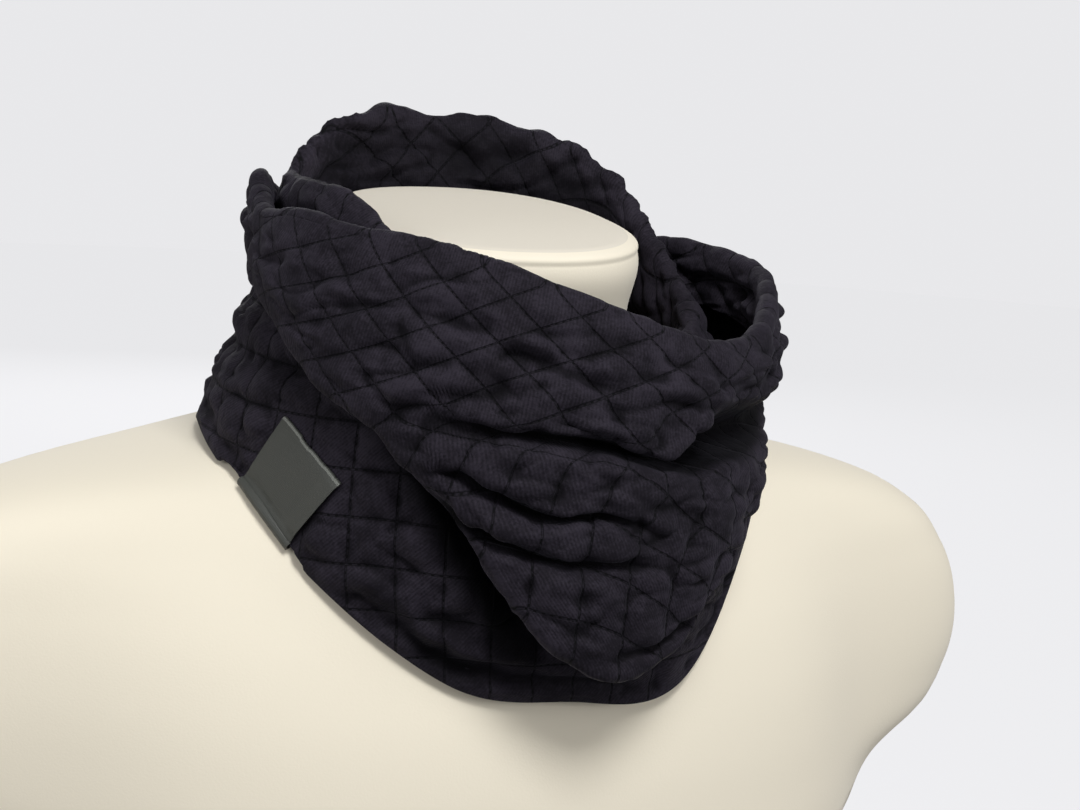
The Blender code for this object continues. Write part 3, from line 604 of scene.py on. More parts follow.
def quilted_jersey(colours, sizes):
    """Knitted viscose jersey quilted over thin wadding: matt and black, with a soft fuzz, fine
    upright wales and a line of small sunk stitches between the squares. Its colour also carries
    painted sheen and shade on the crumples and wadding lumps, and painted shade near black in folds
    and hollows."""
    made, tree, shader = new_material("viscose_jersey_quilted")
    p = add_node(tree, "SeparateXYZ", [add_node(tree, "UVMap", uv_map="quilt")])
    q = p.node.outputs[1]
    # Wales run along the bisector of the two sets of lines and courses across it. Real wales are
    # 0.8 mm wide; they are drawn wider so that a render can show them.
    wales = 2 * math.pi * sizes.diamond_side / (math.sqrt(2) * sizes.wale)
    wale = add_node(tree, "Math ADD", [p, q])
    wale = add_node(tree, "Math MULTIPLY", [wale, wales])
    wale = add_node(tree, "Math SINE", [wale])
    course = add_node(tree, "Math SUBTRACT", [p, q])
    course = add_node(tree, "Math MULTIPLY", [course, 1.2 * wales])
    course = add_node(tree, "Math SINE", [course])
    knit = add_node(tree, "Math MULTIPLY_ADD", [course, 0.25, wale])
    place = add_node(tree, "TexCoord", output="Object")
    fuzz, patches, crumple = (
        add_node(tree, "TexNoise", noise_sockets(place, *pattern))
        for pattern in (FUZZ, WADDING, CRUMPLE)
    )
    lines, threads = [], []
    for across, along in ((p, q), (q, p)):
        off = add_node(tree, "Math ADD", [across, 0.5])
        off = add_node(tree, "Math FRACT", [off])
        off = add_node(tree, "Math SUBTRACT", [off, 0.5])
        off = add_node(tree, "Math ABSOLUTE", [off])
        sunk = [off, *LINE_SHARE, 1.0, 0.0]
        lines.append(add_node(tree, "MapRange", sunk, interpolation_type="SMOOTHSTEP"))
        stitches = 2 * math.pi * sizes.diamond_side / sizes.stitch
        beat = add_node(tree, "Math MULTIPLY", [along, stitches])
        beat = add_node(tree, "Math SINE", [beat])
        shown = add_node(tree, "Math GREATER_THAN", [beat, -0.4])
        thread = add_node(tree, "Math LESS_THAN", [off, THREAD_SHARE])
        threads.append(add_node(tree, "Math MULTIPLY", [thread, shown]))
    lines = add_node(tree, "Math MAXIMUM", lines)
    threads = add_node(tree, "Math MAXIMUM", threads)

    # relief: the knit where the wadding fills it out, fuzz, crumples, sunk lines and their thread
    worn = add_node(tree, "Math SUBTRACT", [patches, 0.30])
    worn = add_node(tree, "Math MULTIPLY", [worn, 0.75])
    height = add_node(tree, "Math MULTIPLY", [knit, worn])
    for relief, share in ((fuzz, 1.1), (crumple, 3.2), (lines, -2.6), (threads, 0.8)):
        height = add_node(tree, "Math MULTIPLY_ADD", [relief, share, height])
    normal = add_node(tree, "Bump", {"Strength": 0.55, "Distance": 0.35 * MM, "Height": height})

    # colour: mottled by the same patterns: random tone of the jersey and its fuzz, with painted
    # sheen and shade on the wadding lumps and crumples; darker along the lines
    tone = patches
    for pattern, share in ((fuzz, 0.8), (crumple, 0.6)):
        centred = add_node(tree, "Math SUBTRACT", [pattern, 0.5])
        tone = add_node(tree, "Math MULTIPLY_ADD", [centred, share, tone])
    tone = add_node(tree, "Math MULTIPLY_ADD", [knit, 0.08, tone])
    cloth = add_node(tree, "ValToRGB", [tone])
    set_stops(cloth, colours.jersey, (0.30, 0.62), (0.72, 1.55))
    sewn = add_node(tree, "Math MULTIPLY", [threads, 0.7])
    sewn = add_node(tree, "Math SUBTRACT", [lines, sewn])
    sewn = {0: sewn, 6: cloth, 7: linear(colours.thread)}
    cloth = add_node(tree, "Mix", sewn, output=2, data_type="RGBA")
    # painted shade: the colour is mixed towards near black as far as the point attribute from
    # grid_object says, in folds, grooves, the valleys between squares and the turned-in facing,
    # where little light reaches
    painted_shade = add_node(tree, "Attribute", output="Fac", attribute_name="painted_shade")
    shaded = {0: painted_shade, 6: cloth, 7: linear(colours.painted_shade)}
    cloth = add_node(tree, "Mix", shaded, output=2, data_type="RGBA")
    fill(tree, shader, {
        "Base Color": cloth, "Normal": normal, "Roughness": 0.7, "IOR": 1.47,
        "Specular IOR Level": 0.06, "Sheen Weight": 0.05, "Sheen Roughness": 0.5,
        "Sheen Tint": (0.60, 0.58, 0.72, 1.0),
    })
    return made


def form_cover(name, colour):
    """Cotton jersey stretched over the form: warm cream, matt, with a very fine even knit."""
    made, tree, shader = new_material(name)
    place = add_node(tree, "TexCoord", output="Object")
    knit = add_node(tree, "TexNoise", noise_sockets(place, *FORM_KNIT))
    fill(tree, shader, {
        "Base Color": linear(colour), "Roughness": 0.8, "Sheen Weight": 0.15,
        "Normal": add_node(tree, "Bump", {"Strength": 0.2, "Distance": 0.3 * MM, "Height": knit}),
    })
    return made


def label_satin(colours):
    """Damask-woven polyester label: dark grey-green satin. Fine ribs run across it, and a pale,
    speckled strip of thread lies along its upper edge, where it is sewn down."""
    made, tree, shader = new_material("polyester_satin_woven_label")
    weave = add_node(tree, "UVMap", uv_map="weave")
    across = add_node(tree, "SeparateXYZ", [weave])
    down = across.node.outputs[1]
    ribs = add_node(tree, "Math MULTIPLY", [down, 2 * math.pi / LABEL_RIBS])
    ribs = add_node(tree, "Math SINE", [ribs])
    warp = add_node(tree, "Math MULTIPLY", [across, 2 * math.pi / LABEL_WARP])
    warp = add_node(tree, "Math SINE", [warp])
    grain = add_node(tree, "TexNoise", noise_sockets(weave, *LABEL_THREADS))
    strip = [
        add_node(tree, side, [down, edge])
        for edge, side in zip(LABEL_STRIP, ("Math GREATER_THAN", "Math LESS_THAN"))
    ]
    strip = add_node(tree, "Math MULTIPLY", strip)
    speckles = add_node(tree, "Math MULTIPLY_ADD", [grain, 1.6, -0.25])
    speckles = add_node(tree, "Math MULTIPLY", [strip, speckles])
    tone = add_node(tree, "Math MULTIPLY", [grain, 0.5])
    tone = add_node(tree, "Math MULTIPLY_ADD", [ribs, 0.06, tone])
    satin = add_node(tree, "ValToRGB", [tone])
    set_stops(satin, colours.label, (0.1, 0.72), (0.45, 1.25))
    sewn = {0: speckles, 6: satin, 7: linear(colours.label_strip)}
    height = strip
    for thread, share in ((warp, 0.25), (ribs, 0.5)):
        height = add_node(tree, "Math MULTIPLY_ADD", [thread, share, height])
    relief = {"Strength": 0.4, "Distance": 0.12 * MM, "Height": height}
    fill(tree, shader, {
        "Base Color": add_node(tree, "Mix", sewn, output=2, data_type="RGBA"),
        "Normal": add_node(tree, "Bump", relief), "Roughness": 0.5, "Specular IOR Level": 0.35,
    })
    return made


def studio_paper(name, colours):
    """Matt background paper, evenly lit by lamps of its own: pale, with the faintest shadow."""
    made, tree, shader = new_material(name)
    fill(tree, shader, {
        "Base Color": linear(colours.paper_shade), "Specular IOR Level": 0.0,
        "Emission Color": linear(colours.paper), "Emission Strength": 1.0,
    })
    return made


# ---------------------------------------------------------------- dress form
def form_grid():
    """Rings of the form with its arm stubs, from the base up, level but for the leaning neck."""
    heights = np.concatenate([np.linspace(*stretch) for stretch in FORM_RINGS])
    chest, arms, front, back, middle = read_table(FORM_SECTIONS, heights / MM)[..., None]
    height = heights[:, None]
    arm_share = np.clip((arms - chest) / ARM_STUB_FULL, 0, 1)
    lean = np.clip((height - NECK_TILT_FROM) / (NECK_TOP - NECK_TILT_FROM), 0, 1)
    turn = 2 * math.pi * np.arange(FORM_COLUMNS)[None] / FORM_COLUMNS
    c, s = np.cos(turn), np.sin(turn)
    depth = np.where(s < 0, front, back)
    power = CHEST_ROUND
    body = (np.abs(c / chest) ** power + np.abs(s / depth) ** power) ** (-1 / power)
    stub_depth = np.minimum(depth, ARM_STUB_DEPTH)
    power = ARM_STUB_ROUND
    stub = (np.abs(c / arms) ** power + np.abs(s / stub_depth) ** power) ** (-1 / power)
    power = SHOULDER_SHARP
    radius = body + ((body**power + stub**power) ** (1 / power) - body) * arm_share
    y = radius * s
    tilt = math.tan(NECK_LEAN) * lean
    return np.stack([radius * c, y + middle, height + y * tilt], axis=-1)


class OBJECT_OT_cowl_dress_form(bpy.types.Operator):
    """Build the limbless dress form that wears the cowl"""

    bl_idname = "object.cowl_dress_form"
    bl_label = "Dress Form"

    def execute(self, context):
        rings = form_grid()
        capped = len(rings) - CAP_RINGS
        # close the neck cap with smaller and smaller copies of its last ring
        top = rings[-1]
        middle = top.mean(axis=0)
        caps = [middle + (top - middle) * share for share in CAP_SHARES]
        rings = np.concatenate([rings, caps])
        count = rings.shape[0]
        vertices = np.concatenate([rings.reshape(-1, 3), [middle]])
        n = FORM_COLUMNS
        faces = []
        for k in range(count - 1):
            for i in range(n):
                a, b = k * n + i, k * n + (i + 1) % n
                faces.append((a, b, b + n, a + n))
        faces += [((count - 1) * n + i, (count - 1) * n + (i + 1) % n, count * n) for i in range(n)]
        faces.append(tuple(reversed(range(n))))
        mesh = bpy.data.meshes.new("dress_form_cover")
        mesh.from_pydata(vertices, [], faces)
        colours = context.scene.cowl_colours
        mesh.materials.append(form_cover("cotton_jersey_stretched_cream", colours.form))
        # the neck cap takes the darker copy of the cover: painted shade
        mesh.materials.append(form_cover("cotton_jersey_neck_cap_painted_shade", colours.cap))
        for face in mesh.polygons:
            face.material_index = int(face.index // n >= capped and len(face.vertices) < n)
        mesh.shade_smooth()
        mesh.set_sharp_from_angle(angle=SHARP_EDGE)
        form = linked("dress_form_cover", mesh)
        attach(form, "root")
        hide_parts("dress_form")
        return {"FINISHED"}


# ---------------------------------------------------------------- quilting
def pillow(p, q):
    """How far a quilted square stands up at these coordinates, from 0 on its lines to 1."""
    rise = 1.0
    for place in (p, q):
        off_line = np.abs(place - np.round(place))
        rise = rise * (1 - (1 - 2 * off_line) ** PILLOW_POWER)
    return rise


def joined_round(p, q, jump):
    """Quilting coordinates as one array, with its first column again at the end, a turn further."""
    quilt = np.stack([p, q], axis=-1)
    return np.concatenate([quilt, quilt[:1] + jump], axis=0)


def tube_quilting(azimuths, level, side):
    """The tube's quilting coordinates, in squares, and what they gain in a turn. The lines are
    level and upright in front and diamonds behind. level is the height along the cloth."""
    behind = np.maximum(ease(azimuths, *DIAMONDS_LEFT), 1 - ease(azimuths, *DIAMONDS_RIGHT))
    turn = math.radians(45) * behind
    step = SQUARES_ROUND / len(azimuths)
    totals, runs = [], []
    for run in (np.cos(turn) * step, np.sin(turn) * step):
        total = round(run.sum())
        runs.append((np.cumsum(run) - run) * total / run.sum())
        totals.append(total)
    first = np.interp(UPRIGHT_LINE, azimuths, runs[0])
    p = (runs[0] - first)[:, None] + level * np.sin(turn)[:, None] / side
    q = runs[1][:, None] - (level + LEVEL_LINE_BELOW) * np.cos(turn)[:, None] / side
    return p, q, np.array(totals)


def drape_quilting(azimuths, level, off):
    """The drape's quilting coordinates over and under its main fold, in squares. Over it they lie
    as long diamonds; under it they are level and upright. off says how far over it a point is."""
    around = azimuths[:, None]
    down = DRAPE_TOP - level
    bow = LINES_BOW * np.cos(np.radians(5 * (around + 17)))
    upper = np.stack([
        around * count / 360 + down / apart + start
        for count, apart, start in (STEEP_LINES, SHALLOW_LINES)
    ])
    upper[0] += bow
    line = fold_line(azimuths, LEVEL_LINE)[0][:, None]
    lean = UPRIGHT_LEAN * (1 - np.exp(-np.maximum(line - level, 0) / LEVEL_LEAN_OVER))
    lower = np.stack([(around + lean + UPRIGHT_START) / UPRIGHT_STEP, (level - line) / LEVEL_STEP])
    gone = ease(around, *LOWER_TO)
    present = ease(around, *LOWER_FROM) * (1 - gone)
    lower = upper + (lower - upper) * present + np.reshape(LOWER_JUMP, (2, 1, 1)) * gone
    meet = 1 - ease(around, *LINES_PART)
    across = ease(-off, -LINES_MEET, LINES_MEET)
    difference = (lower - upper) * meet
    return upper + difference * across, lower - difference * (1 - across)


# ---------------------------------------------------------------- folds and creases
def fold_line(azimuths, path):
    """What a fold's path says at azimuths. Past its ends it stays as it ends."""
    return read_table(path, np.clip(azimuths, path[0][0], path[-1][0]))


def fold_shape(azimuths, height, path, sink=1.0, swell=FOLD_SWELL, hang=FOLD_HANG):
    """How far a fold moves the cloth out and up, at heights down each column, and how far above the
    fold each point is, in half-widths."""
    where, depth, width = fold_line(azimuths, path)
    slope = np.gradient(where, np.radians(azimuths) * MEAN_RADIUS)
    off = (height - where[:, None]) / (np.sqrt(1 + slope**2) * width)[:, None]
    depth = np.maximum(depth, 0)[:, None]
    above, below = bell(off, *SWELL_ABOVE), bell(off, *SWELL_BELOW)
    out = depth * (swell * above + 0.5 * swell * below - sink * bell(off))
    return out, depth * (FOLD_STAND * below - hang * above), off


def painted_hollow_shade(outer, deep):
    """Painted shade in a cloth's hollows, from 0 to 1: deep ones, and those between its squares."""
    between = SMALL_SHADE * ease(hollows(outer, 4, 4), *SMALL_HOLLOWS)
    return np.maximum(ease(hollows(outer), *deep), between)


def creased(azimuths, height, creases):
    """How far the listed creases sink the cloth, with a low ridge above each."""
    total = np.zeros(height.shape)
    for azimuth, climb, *lengths in creases:
        level, half_length, depth, width = np.array(lengths) * MM
        c, s = math.cos(math.radians(climb)), math.sin(math.radians(climb))
        side = np.radians(angle_between(azimuths, azimuth))[:, None] * MEAN_RADIUS
        along = (side * c + (height - level) * s) / half_length
        across = ((height - level) * c - side * s) / (CREASE_WIDER * width)
        shape = bell(across) - CREASE_RIDGE * bell(across, 2.0)
        total += CREASE_DEEPER * depth * fade(along) * shape
    return total


# ---------------------------------------------------------------- tube
def slouch_inward(azimuth, share):
    """How far the slouched folds go in, at azimuths and shares of the way to the hem."""
    inward = np.zeros(np.broadcast(azimuth, share).shape)
    for fold_azimuth, fold_share, half_length, climb, depth in SLOUCH_FOLDS:
        off = angle_between(azimuth, fold_azimuth) / half_length
        inward += depth * MM * fade(off) * bell(share, fold_share + climb * off, SLOUCH_WIDTH)
    return inward


def turn_over(radius, height, upward):
    """The half-circle where the cloth turns over a fold, from its inner side to its outer."""
    turn = np.linspace(0, math.pi, TURN_STEPS)
    side = 1 if upward else -1
    r = radius[:, None] - FOLD_RADIUS * (1 + np.cos(turn))
    z = height[:, None] + side * FOLD_RADIUS * np.sin(turn)
    return r, z


def tube_lines(azimuths):
    """Radius and height down each column of the tube's inner side, and height along the cloth."""
    sections = read_table(TUBE_SECTIONS, azimuths, periodic=True)
    rim_r, rim_z, hem_z = sections[0], sections[1], sections[7]
    around = azimuths[:, None]
    up = np.linspace(1, 0, TUBE_FACING_STEPS + 1)[:-1][None]
    inward = FACING_LEAN * up + slouch_inward(around, FACING * up / (rim_z - hem_z)[:, None])
    facing_r = rim_r[:, None] - 2 * FOLD_RADIUS - inward
    turn_r, turn_z = turn_over(rim_r, rim_z, True)
    share = np.linspace(0, 1, TUBE_ROWS)[1:]
    stations = np.stack([sections[0::2], sections[1::2]], axis=-1)
    body = smooth(TUBE_STATIONS, stations, share)
    body_r = body[..., 0].T - slouch_inward(around, share[None])
    r = np.concatenate([facing_r, turn_r, body_r], axis=1)
    z = np.concatenate([rim_z[:, None] - FACING * up, turn_z, body[..., 1].T], axis=1)
    steps = np.hypot(np.diff(r, axis=1), np.diff(z, axis=1))
    travelled = np.concatenate([np.zeros((len(r), 1)), np.cumsum(steps, axis=1)], axis=1)
    rim = facing_r.shape[1] + turn_r.shape[1] // 2
    level = rim_z[:, None] - LEVEL_FROM - (travelled - travelled[:, rim : rim + 1])
    return r, z, level


def plain_tube():
    """The tube's inner side, clear of the form and without its relief: azimuths, heights, heights
    along the cloth and above the hem, and the points."""
    form = surface_of(bpy.data.objects["dress_form_cover"])
    azimuths = once_round(TUBE_COLUMNS)
    r, z, level = tube_lines(azimuths)
    r, z, level = resampled(np.stack([r, z], axis=-1), TUBE_ROWS, r, z, level)
    above_hem = level - level[:, -1:]
    lift = LABEL_LIFT * fade((azimuths - LABEL_AZIMUTH) / LABEL_LIFT_TURN)[:, None]
    lift = lift * bell(above_hem, 0, LABEL_LIFT_HEIGHT)
    inner = kept_clear(turned(azimuths[:, None], r, z), form, INNER_CLEAR_OF_FORM + lift)
    return azimuths, z, level, above_hem, inner


def hem_turn(outer, normals):
    """Rows that turn the cloth's outer side under its lower edge and back up inside it."""
    last = outer[:, -1]
    normal, down = (
        np.mean([np.roll(way, k, axis=0) for k in range(-8, 9)], axis=0)
        for way in (normals[:, -5], last - outer[:, -6])
    )
    normal /= np.linalg.norm(normal, axis=1, keepdims=True)
    down -= normal * (down * normal).sum(axis=1, keepdims=True)
    down /= np.linalg.norm(down, axis=1, keepdims=True)
    radius = (WALL - CLEAR_OF_FORM) / 2
    rows = [
        last - normal * radius * (1 - math.cos(turn)) + down * radius * math.sin(turn)
        for turn in np.linspace(0, math.pi, 8)[1:]
    ]
    rows += [last - normal * 2 * radius - down * climb for climb in HEM_ROWS]
    return np.stack(rows, axis=1)


def label_frame(inner, azimuths):
    """Where the label's middle crosses the hem, the way along the hem, and the way up the cloth."""
    middle = int(np.argmin(np.abs(azimuths - LABEL_AZIMUTH)))
    reach = len(azimuths) // 40
    hem = inner[middle, -1]
    along = inner[middle + reach, -1] - inner[middle - reach, -1]
    along /= np.linalg.norm(along)
    up = inner[middle, -12] - hem
    up -= along * (up @ along)
    return hem, along, up / np.linalg.norm(up)


def under_label(outer, hem, along, up):
    """1 where the label presses the cloth flat, and 0 away from it."""
    side, climb = np.abs((outer - hem) @ along), (outer - hem) @ up
    near = np.linalg.norm(outer - hem, axis=2) < PRESSED_REACH
    return near * (1 - ease(side, *PRESSED_SIDE)) * (1 - ease(climb, *PRESSED_CLIMB))


def tube_painted_shade(azimuths, outer, beside_drape, below_roll):
    """How much painted shade each point takes, from 0 to 1: a painted shadow in the groove beside
    the drape, and painted shade in the valley above the hem, on the inside behind the neck and in
    all its hollows."""
    groove = np.clip(fold_line(azimuths, TUBE_GROOVE)[1] / GROOVE_FULL, 0, 1)[:, None]
    valley = np.clip(fold_line(azimuths, HEM_VALLEY)[1] / VALLEY_FULL, 0, 1)[:, None]
    inside = ease(np.arange(TUBE_ROWS) / TUBE_ROWS, *INSIDE_TO)
    return np.maximum.reduce([
        GROOVE_SHADOW * groove * np.exp(-(((beside_drape - GROOVE_AT) / GROOVE_WIDE) ** 4)),
        VALLEY_SHADE * valley * bell(below_roll, 0, VALLEY_WIDE),
        np.broadcast_to(INSIDE_SHADE * inside, outer.shape[:2]),
        painted_hollow_shade(outer, TUBE_HOLLOWS),
    ])


class OBJECT_OT_cowl_tube(bpy.types.Operator):
    """Build the stretch of quilted cloth that stands behind the neck and lies on the chest"""

    bl_idname = "object.cowl_tube"
    bl_label = "Cowl Tube"

    def execute(self, context):
        sizes, colours = context.scene.cowl_sizes, context.scene.cowl_colours
        azimuths, z, level, above_hem, inner = plain_tube()
        normals = grid_normals(inner)
        outer = inner + normals * WALL
        valley, _, below_roll = fold_shape(azimuths, z, HEM_VALLEY, VALLEY_SINK, VALLEY_SWELL)
        groove, _, beside_drape = fold_shape(azimuths, z, TUBE_GROOVE, swell=0.0)
        rumple = rumpled(outer, TUBE_RUMPLES)
        behind = ease(level, *BACK_LEVELS) * ease(np.abs(azimuths), *BACK_AZIMUTHS)[:, None]
        rumple *= 1 + BACK_RUMPLES * behind
        pressed = under_label(outer, *label_frame(inner, azimuths))
        p, q, jump = tube_quilting(azimuths, level, sizes.diamond_side)
        rim_level = read_table(TUBE_SECTIONS, azimuths, periodic=True)[1] - LEVEL_FROM
        from_rim = ease(np.abs(level - rim_level[:, None]), *EDGE_FLAT)
        rise = pillow(p, q) * sizes.puff * (TUBE_EDGE_LEFT + (1 - TUBE_EDGE_LEFT) * from_rim)
        rise *= ease(above_hem, sizes.hem - 0.001, sizes.hem + 0.003)
        body = ease(above_hem, 0, 0.004)
        rise = (rise + rumple * body) * (1 - 0.9 * pressed) - PRESSED_IN * pressed
        outer = outer + normals * (rise + (valley + groove) * body)[..., None]
        form = surface_of(bpy.data.objects["dress_form_cover"])
        outer = kept_clear(outer, form, OUTER_CLEAR_OF_FORM)
        rows = hem_turn(outer, normals)
        # painted shade and painted shadow for each point, carried down the hem's rows
        dark = tube_painted_shade(azimuths, outer, beside_drape, below_roll)
        p, q, dark = (
            np.pad(values, ((0, 0), (0, rows.shape[1])), mode="edge") for values in (p, q, dark)
        )
        cloth = grid_object(
            "cowl_tube_cloth", np.concatenate([outer, rows], axis=1),
            corners_of(joined_round(p, q, jump)), dark, quilted_jersey(colours, sizes)
        )
        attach(cloth, "root")
        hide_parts("cowl_tube")
        return {"FINISHED"}


# ---------------------------------------------------------------- drape
def drape_lines(azimuths):
    """Radius and height down each column of the drape's inner side, without its folds, and the
    height along the cloth."""
    sections = read_table(DRAPE_SECTIONS, azimuths, periodic=True)
    rim_r, rim_z, belly, fold_r, fold_z = (values[:, None] for values in sections)
    length = rim_z - fold_z
    up = np.linspace(1, 0, DRAPE_FACING_STEPS + 1)[:-1]
    facing = np.minimum(DRAPE_FACING, FACING_SHARE * length) * up
    turn_r, turn_z = turn_over(rim_r[:, 0], rim_z[:, 0], True)
    share = np.linspace(0, 1, BODY_STEPS)[1:][None]
    body_r = rim_r + (fold_r - rim_r) * share**FLARE_POWER + belly * 4 * share * (1 - share)
    body_z = rim_z - length * share
    under_r, under_z = (part[:, ::-1] for part in turn_over(fold_r[:, 0], fold_z[:, 0], False))
    behind = np.linspace(0, 1, RETURN_STEPS + 1)[1:]
    behind = np.minimum(DRAPE_RETURN, RETURN_SHARE * length) * behind
    inward = 2 * FOLD_RADIUS
    r = [rim_r - inward + 0 * facing, turn_r, body_r, under_r, fold_r - inward + 0 * behind]
    z = [rim_z - facing, turn_z, body_z, under_z, fold_z + behind]
    over = np.linspace(OVER_A_TURN, 0, TURN_STEPS)
    under = np.linspace(0, 2 * OVER_A_TURN, TURN_STEPS)
    level = [rim_z + OVER_A_TURN + facing, rim_z + over, body_z, fold_z - under]
    level.append(fold_z - 2 * OVER_A_TURN - behind)
    return tuple(np.concatenate(parts, axis=1) for parts in (r, z, level))


def seat_shift(azimuths, tube):
    """How far each column of the drape moves out so that it lies over the tube."""
    places = once_round(SEAT_COLUMNS)
    r, z, _ = drape_lines(places)
    body = np.zeros(r.shape)
    body[:, DRAPE_FACING_STEPS + TURN_STEPS : -RETURN_STEPS - TURN_STEPS] = 1.0
    r, z, body = resampled(np.stack([r, z], axis=-1), SEAT_ROWS, r, z, body)
    points = turned(places[:, None], r, z)
    wanted = np.where(body < 0.5, WALL, 0.0) + CLEAR_OF_TUBE
    shift = np.zeros(SEAT_COLUMNS)
    for _ in range(3):
        short = np.zeros(SEAT_COLUMNS)
        for i, j in np.ndindex(SEAT_COLUMNS, SEAT_ROWS):
            place = Vector(points[i, j])
            near, normal, _, _ = tube.find_nearest(place, SEARCH_REACH)
            if near is not None:
                short[i] = max(short[i], wanted[i, j] - (place - near).dot(normal))
        eased = np.maximum(short, (np.roll(short, 1) + short + np.roll(short, -1)) / 3)
        points += (outward_at(places) * eased[:, None])[:, None, :]
        shift += eased
    closed = np.concatenate([shift, shift[:1]])
    return smooth(np.append(places, 180.0), closed, azimuths, periodic=True)


class OBJECT_OT_cowl_drape(bpy.types.Operator):
    """Build the stretch of quilted cloth that hangs in folds over the front"""

    bl_idname = "object.cowl_drape"
    bl_label = "Front Drape"

    def execute(self, context):
        sizes = context.scene.cowl_sizes
        tube = surface_of(bpy.data.objects["cowl_tube_cloth"])
        azimuths = once_round(DRAPE_COLUMNS)
        shift = blurred_round(seat_shift(azimuths, tube), 2.0)
        r, z, level = drape_lines(azimuths)
        out, up = np.zeros(r.shape), np.zeros(r.shape)
        for path in DRAPE_FOLDS:
            opens = HOLLOW_OPENS * ease(azimuths, *HOLLOW_AT_LEFT)[:, None]
            closed = 1 - opens * (path is DRAPE_FOLDS[0])
            moved = fold_shape(azimuths, z, path, 1.0, FOLD_SWELL * closed, FOLD_HANG * closed)
            out, up = out + moved[0], up + moved[1]
        guide = np.stack([r + out, z + up], axis=-1)
        r, z, level, out, up = resampled(guide, DRAPE_ROWS, r, z, level, out, up)
        inner = turned(azimuths[:, None], r + shift[:, None], z)
        outer = inner + grid_normals(inner) * WALL
        outer += outward_at(azimuths)[:, None] * out[..., None]
        outer[..., 2] += up
        normals = grid_normals(outer)
        off = fold_shape(azimuths, z, DRAPE_FOLDS[0])[2]
        upper, lower = drape_quilting(azimuths, level, off)
        below = (off < 0) & (azimuths[:, None] > BELOW_FROM)
        p, q = np.where(below, lower, upper)
        calm = 1 - CALM_SHARE * fade((azimuths - CALM_AZIMUTH) / CALM_TURN)[:, None]
        rise = (pillow(p, q) * sizes.puff + rumpled(outer, DRAPE_RUMPLES)) * calm
        rise -= creased(azimuths, z, DRAPE_CREASES)
        sections = read_table(DRAPE_SECTIONS, azimuths, periodic=True)
        from_edge = np.minimum(*(np.abs(level - sections[k][:, None]) for k in (1, 4)))
        rise *= np.clip(1 + out / FLAT_WHEN_SUNK, SUNK_LEFT, 1)
        rise *= DRAPE_EDGE_LEFT + (1 - DRAPE_EDGE_LEFT) * ease(from_edge, *EDGE_FLAT)
        outer = kept_clear(outer + normals * rise[..., None], tube, CLEAR_OF_TUBE)
        jump = (STEEP_LINES[0], SHALLOW_LINES[0])
        upper, lower = (corners_of(joined_round(*quilt, jump)) for quilt in (upper, lower))
        below = corners_of(np.concatenate([below, below[:1]]).astype(float)).mean(axis=2) > 0.5
        # painted shade: near black at the bottom of the drape's folds, and darker in its other
        # hollows
        dark = np.maximum(painted_hollow_shade(outer, DRAPE_HOLLOWS), FOLD_SHADE * ease(-out, *FOLD_SUNK))
        cloth = grid_object(
            "front_drape_cloth", outer, np.where(below[..., None, None], lower, upper), dark,
            bpy.data.materials["viscose_jersey_quilted"]
        )
        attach(cloth, "root")
        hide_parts("front_drape")
        return {"FINISHED"}


# ---------------------------------------------------------------- label
def label_route():
    """The label's way round the hem, as climb up the cloth and distance out from its inner side, at
    places spread evenly along it, and how far along it each lies."""
    front = WALL - PRESSED_IN + LABEL_OFF_CLOTH
    half = (front + LABEL_GAP) / 2
    route = [(climb * LABEL_TURN_UP, -LABEL_GAP) for climb in (1.0, 0.75, 0.5, 0.25)]
    route += [
        (-LABEL_DROP * math.sin(turn), front - half - half * math.cos(turn))
        for turn in np.linspace(0, math.pi, 9)
    ]
    route += [(climb * LABEL_HEIGHT, front) for climb in (0.08, 0.2, 0.4, 0.6, 0.8, 1.0)]
    steps = np.linalg.norm(np.diff(route, axis=0), axis=1)
    travelled = np.concatenate([[0], np.cumsum(steps)])
    along = np.linspace(0, travelled[-1], LABEL_ROWS)
    return smooth(travelled, route, along), along


def label_column(bed, start, up, route):
    """One column of the label: its route, laid on the cloth's inner side from the hem up."""
    near, normal, _, _ = bed.find_nearest(start)
    below = (up - normal * up.dot(normal)).normalized()
    walk, step = [(near, normal)], MM
    for _ in range(int(LABEL_HEIGHT / step) + 2):
        ahead = (up - normal * up.dot(normal)).normalized()
        near, normal, _, _ = bed.find_nearest(near + ahead * step)
        walk.append((near, normal))
    at = np.clip(route[:, 0], 0, None) / step
    place, outward = (
        np.stack([np.interp(at, np.arange(len(walk)), axis) for axis in np.array(ways).T], axis=-1)
        for ways in zip(*walk)
    )
    return place + outward * route[:, 1:] + np.minimum(route[:, :1], 0) * np.array(below)


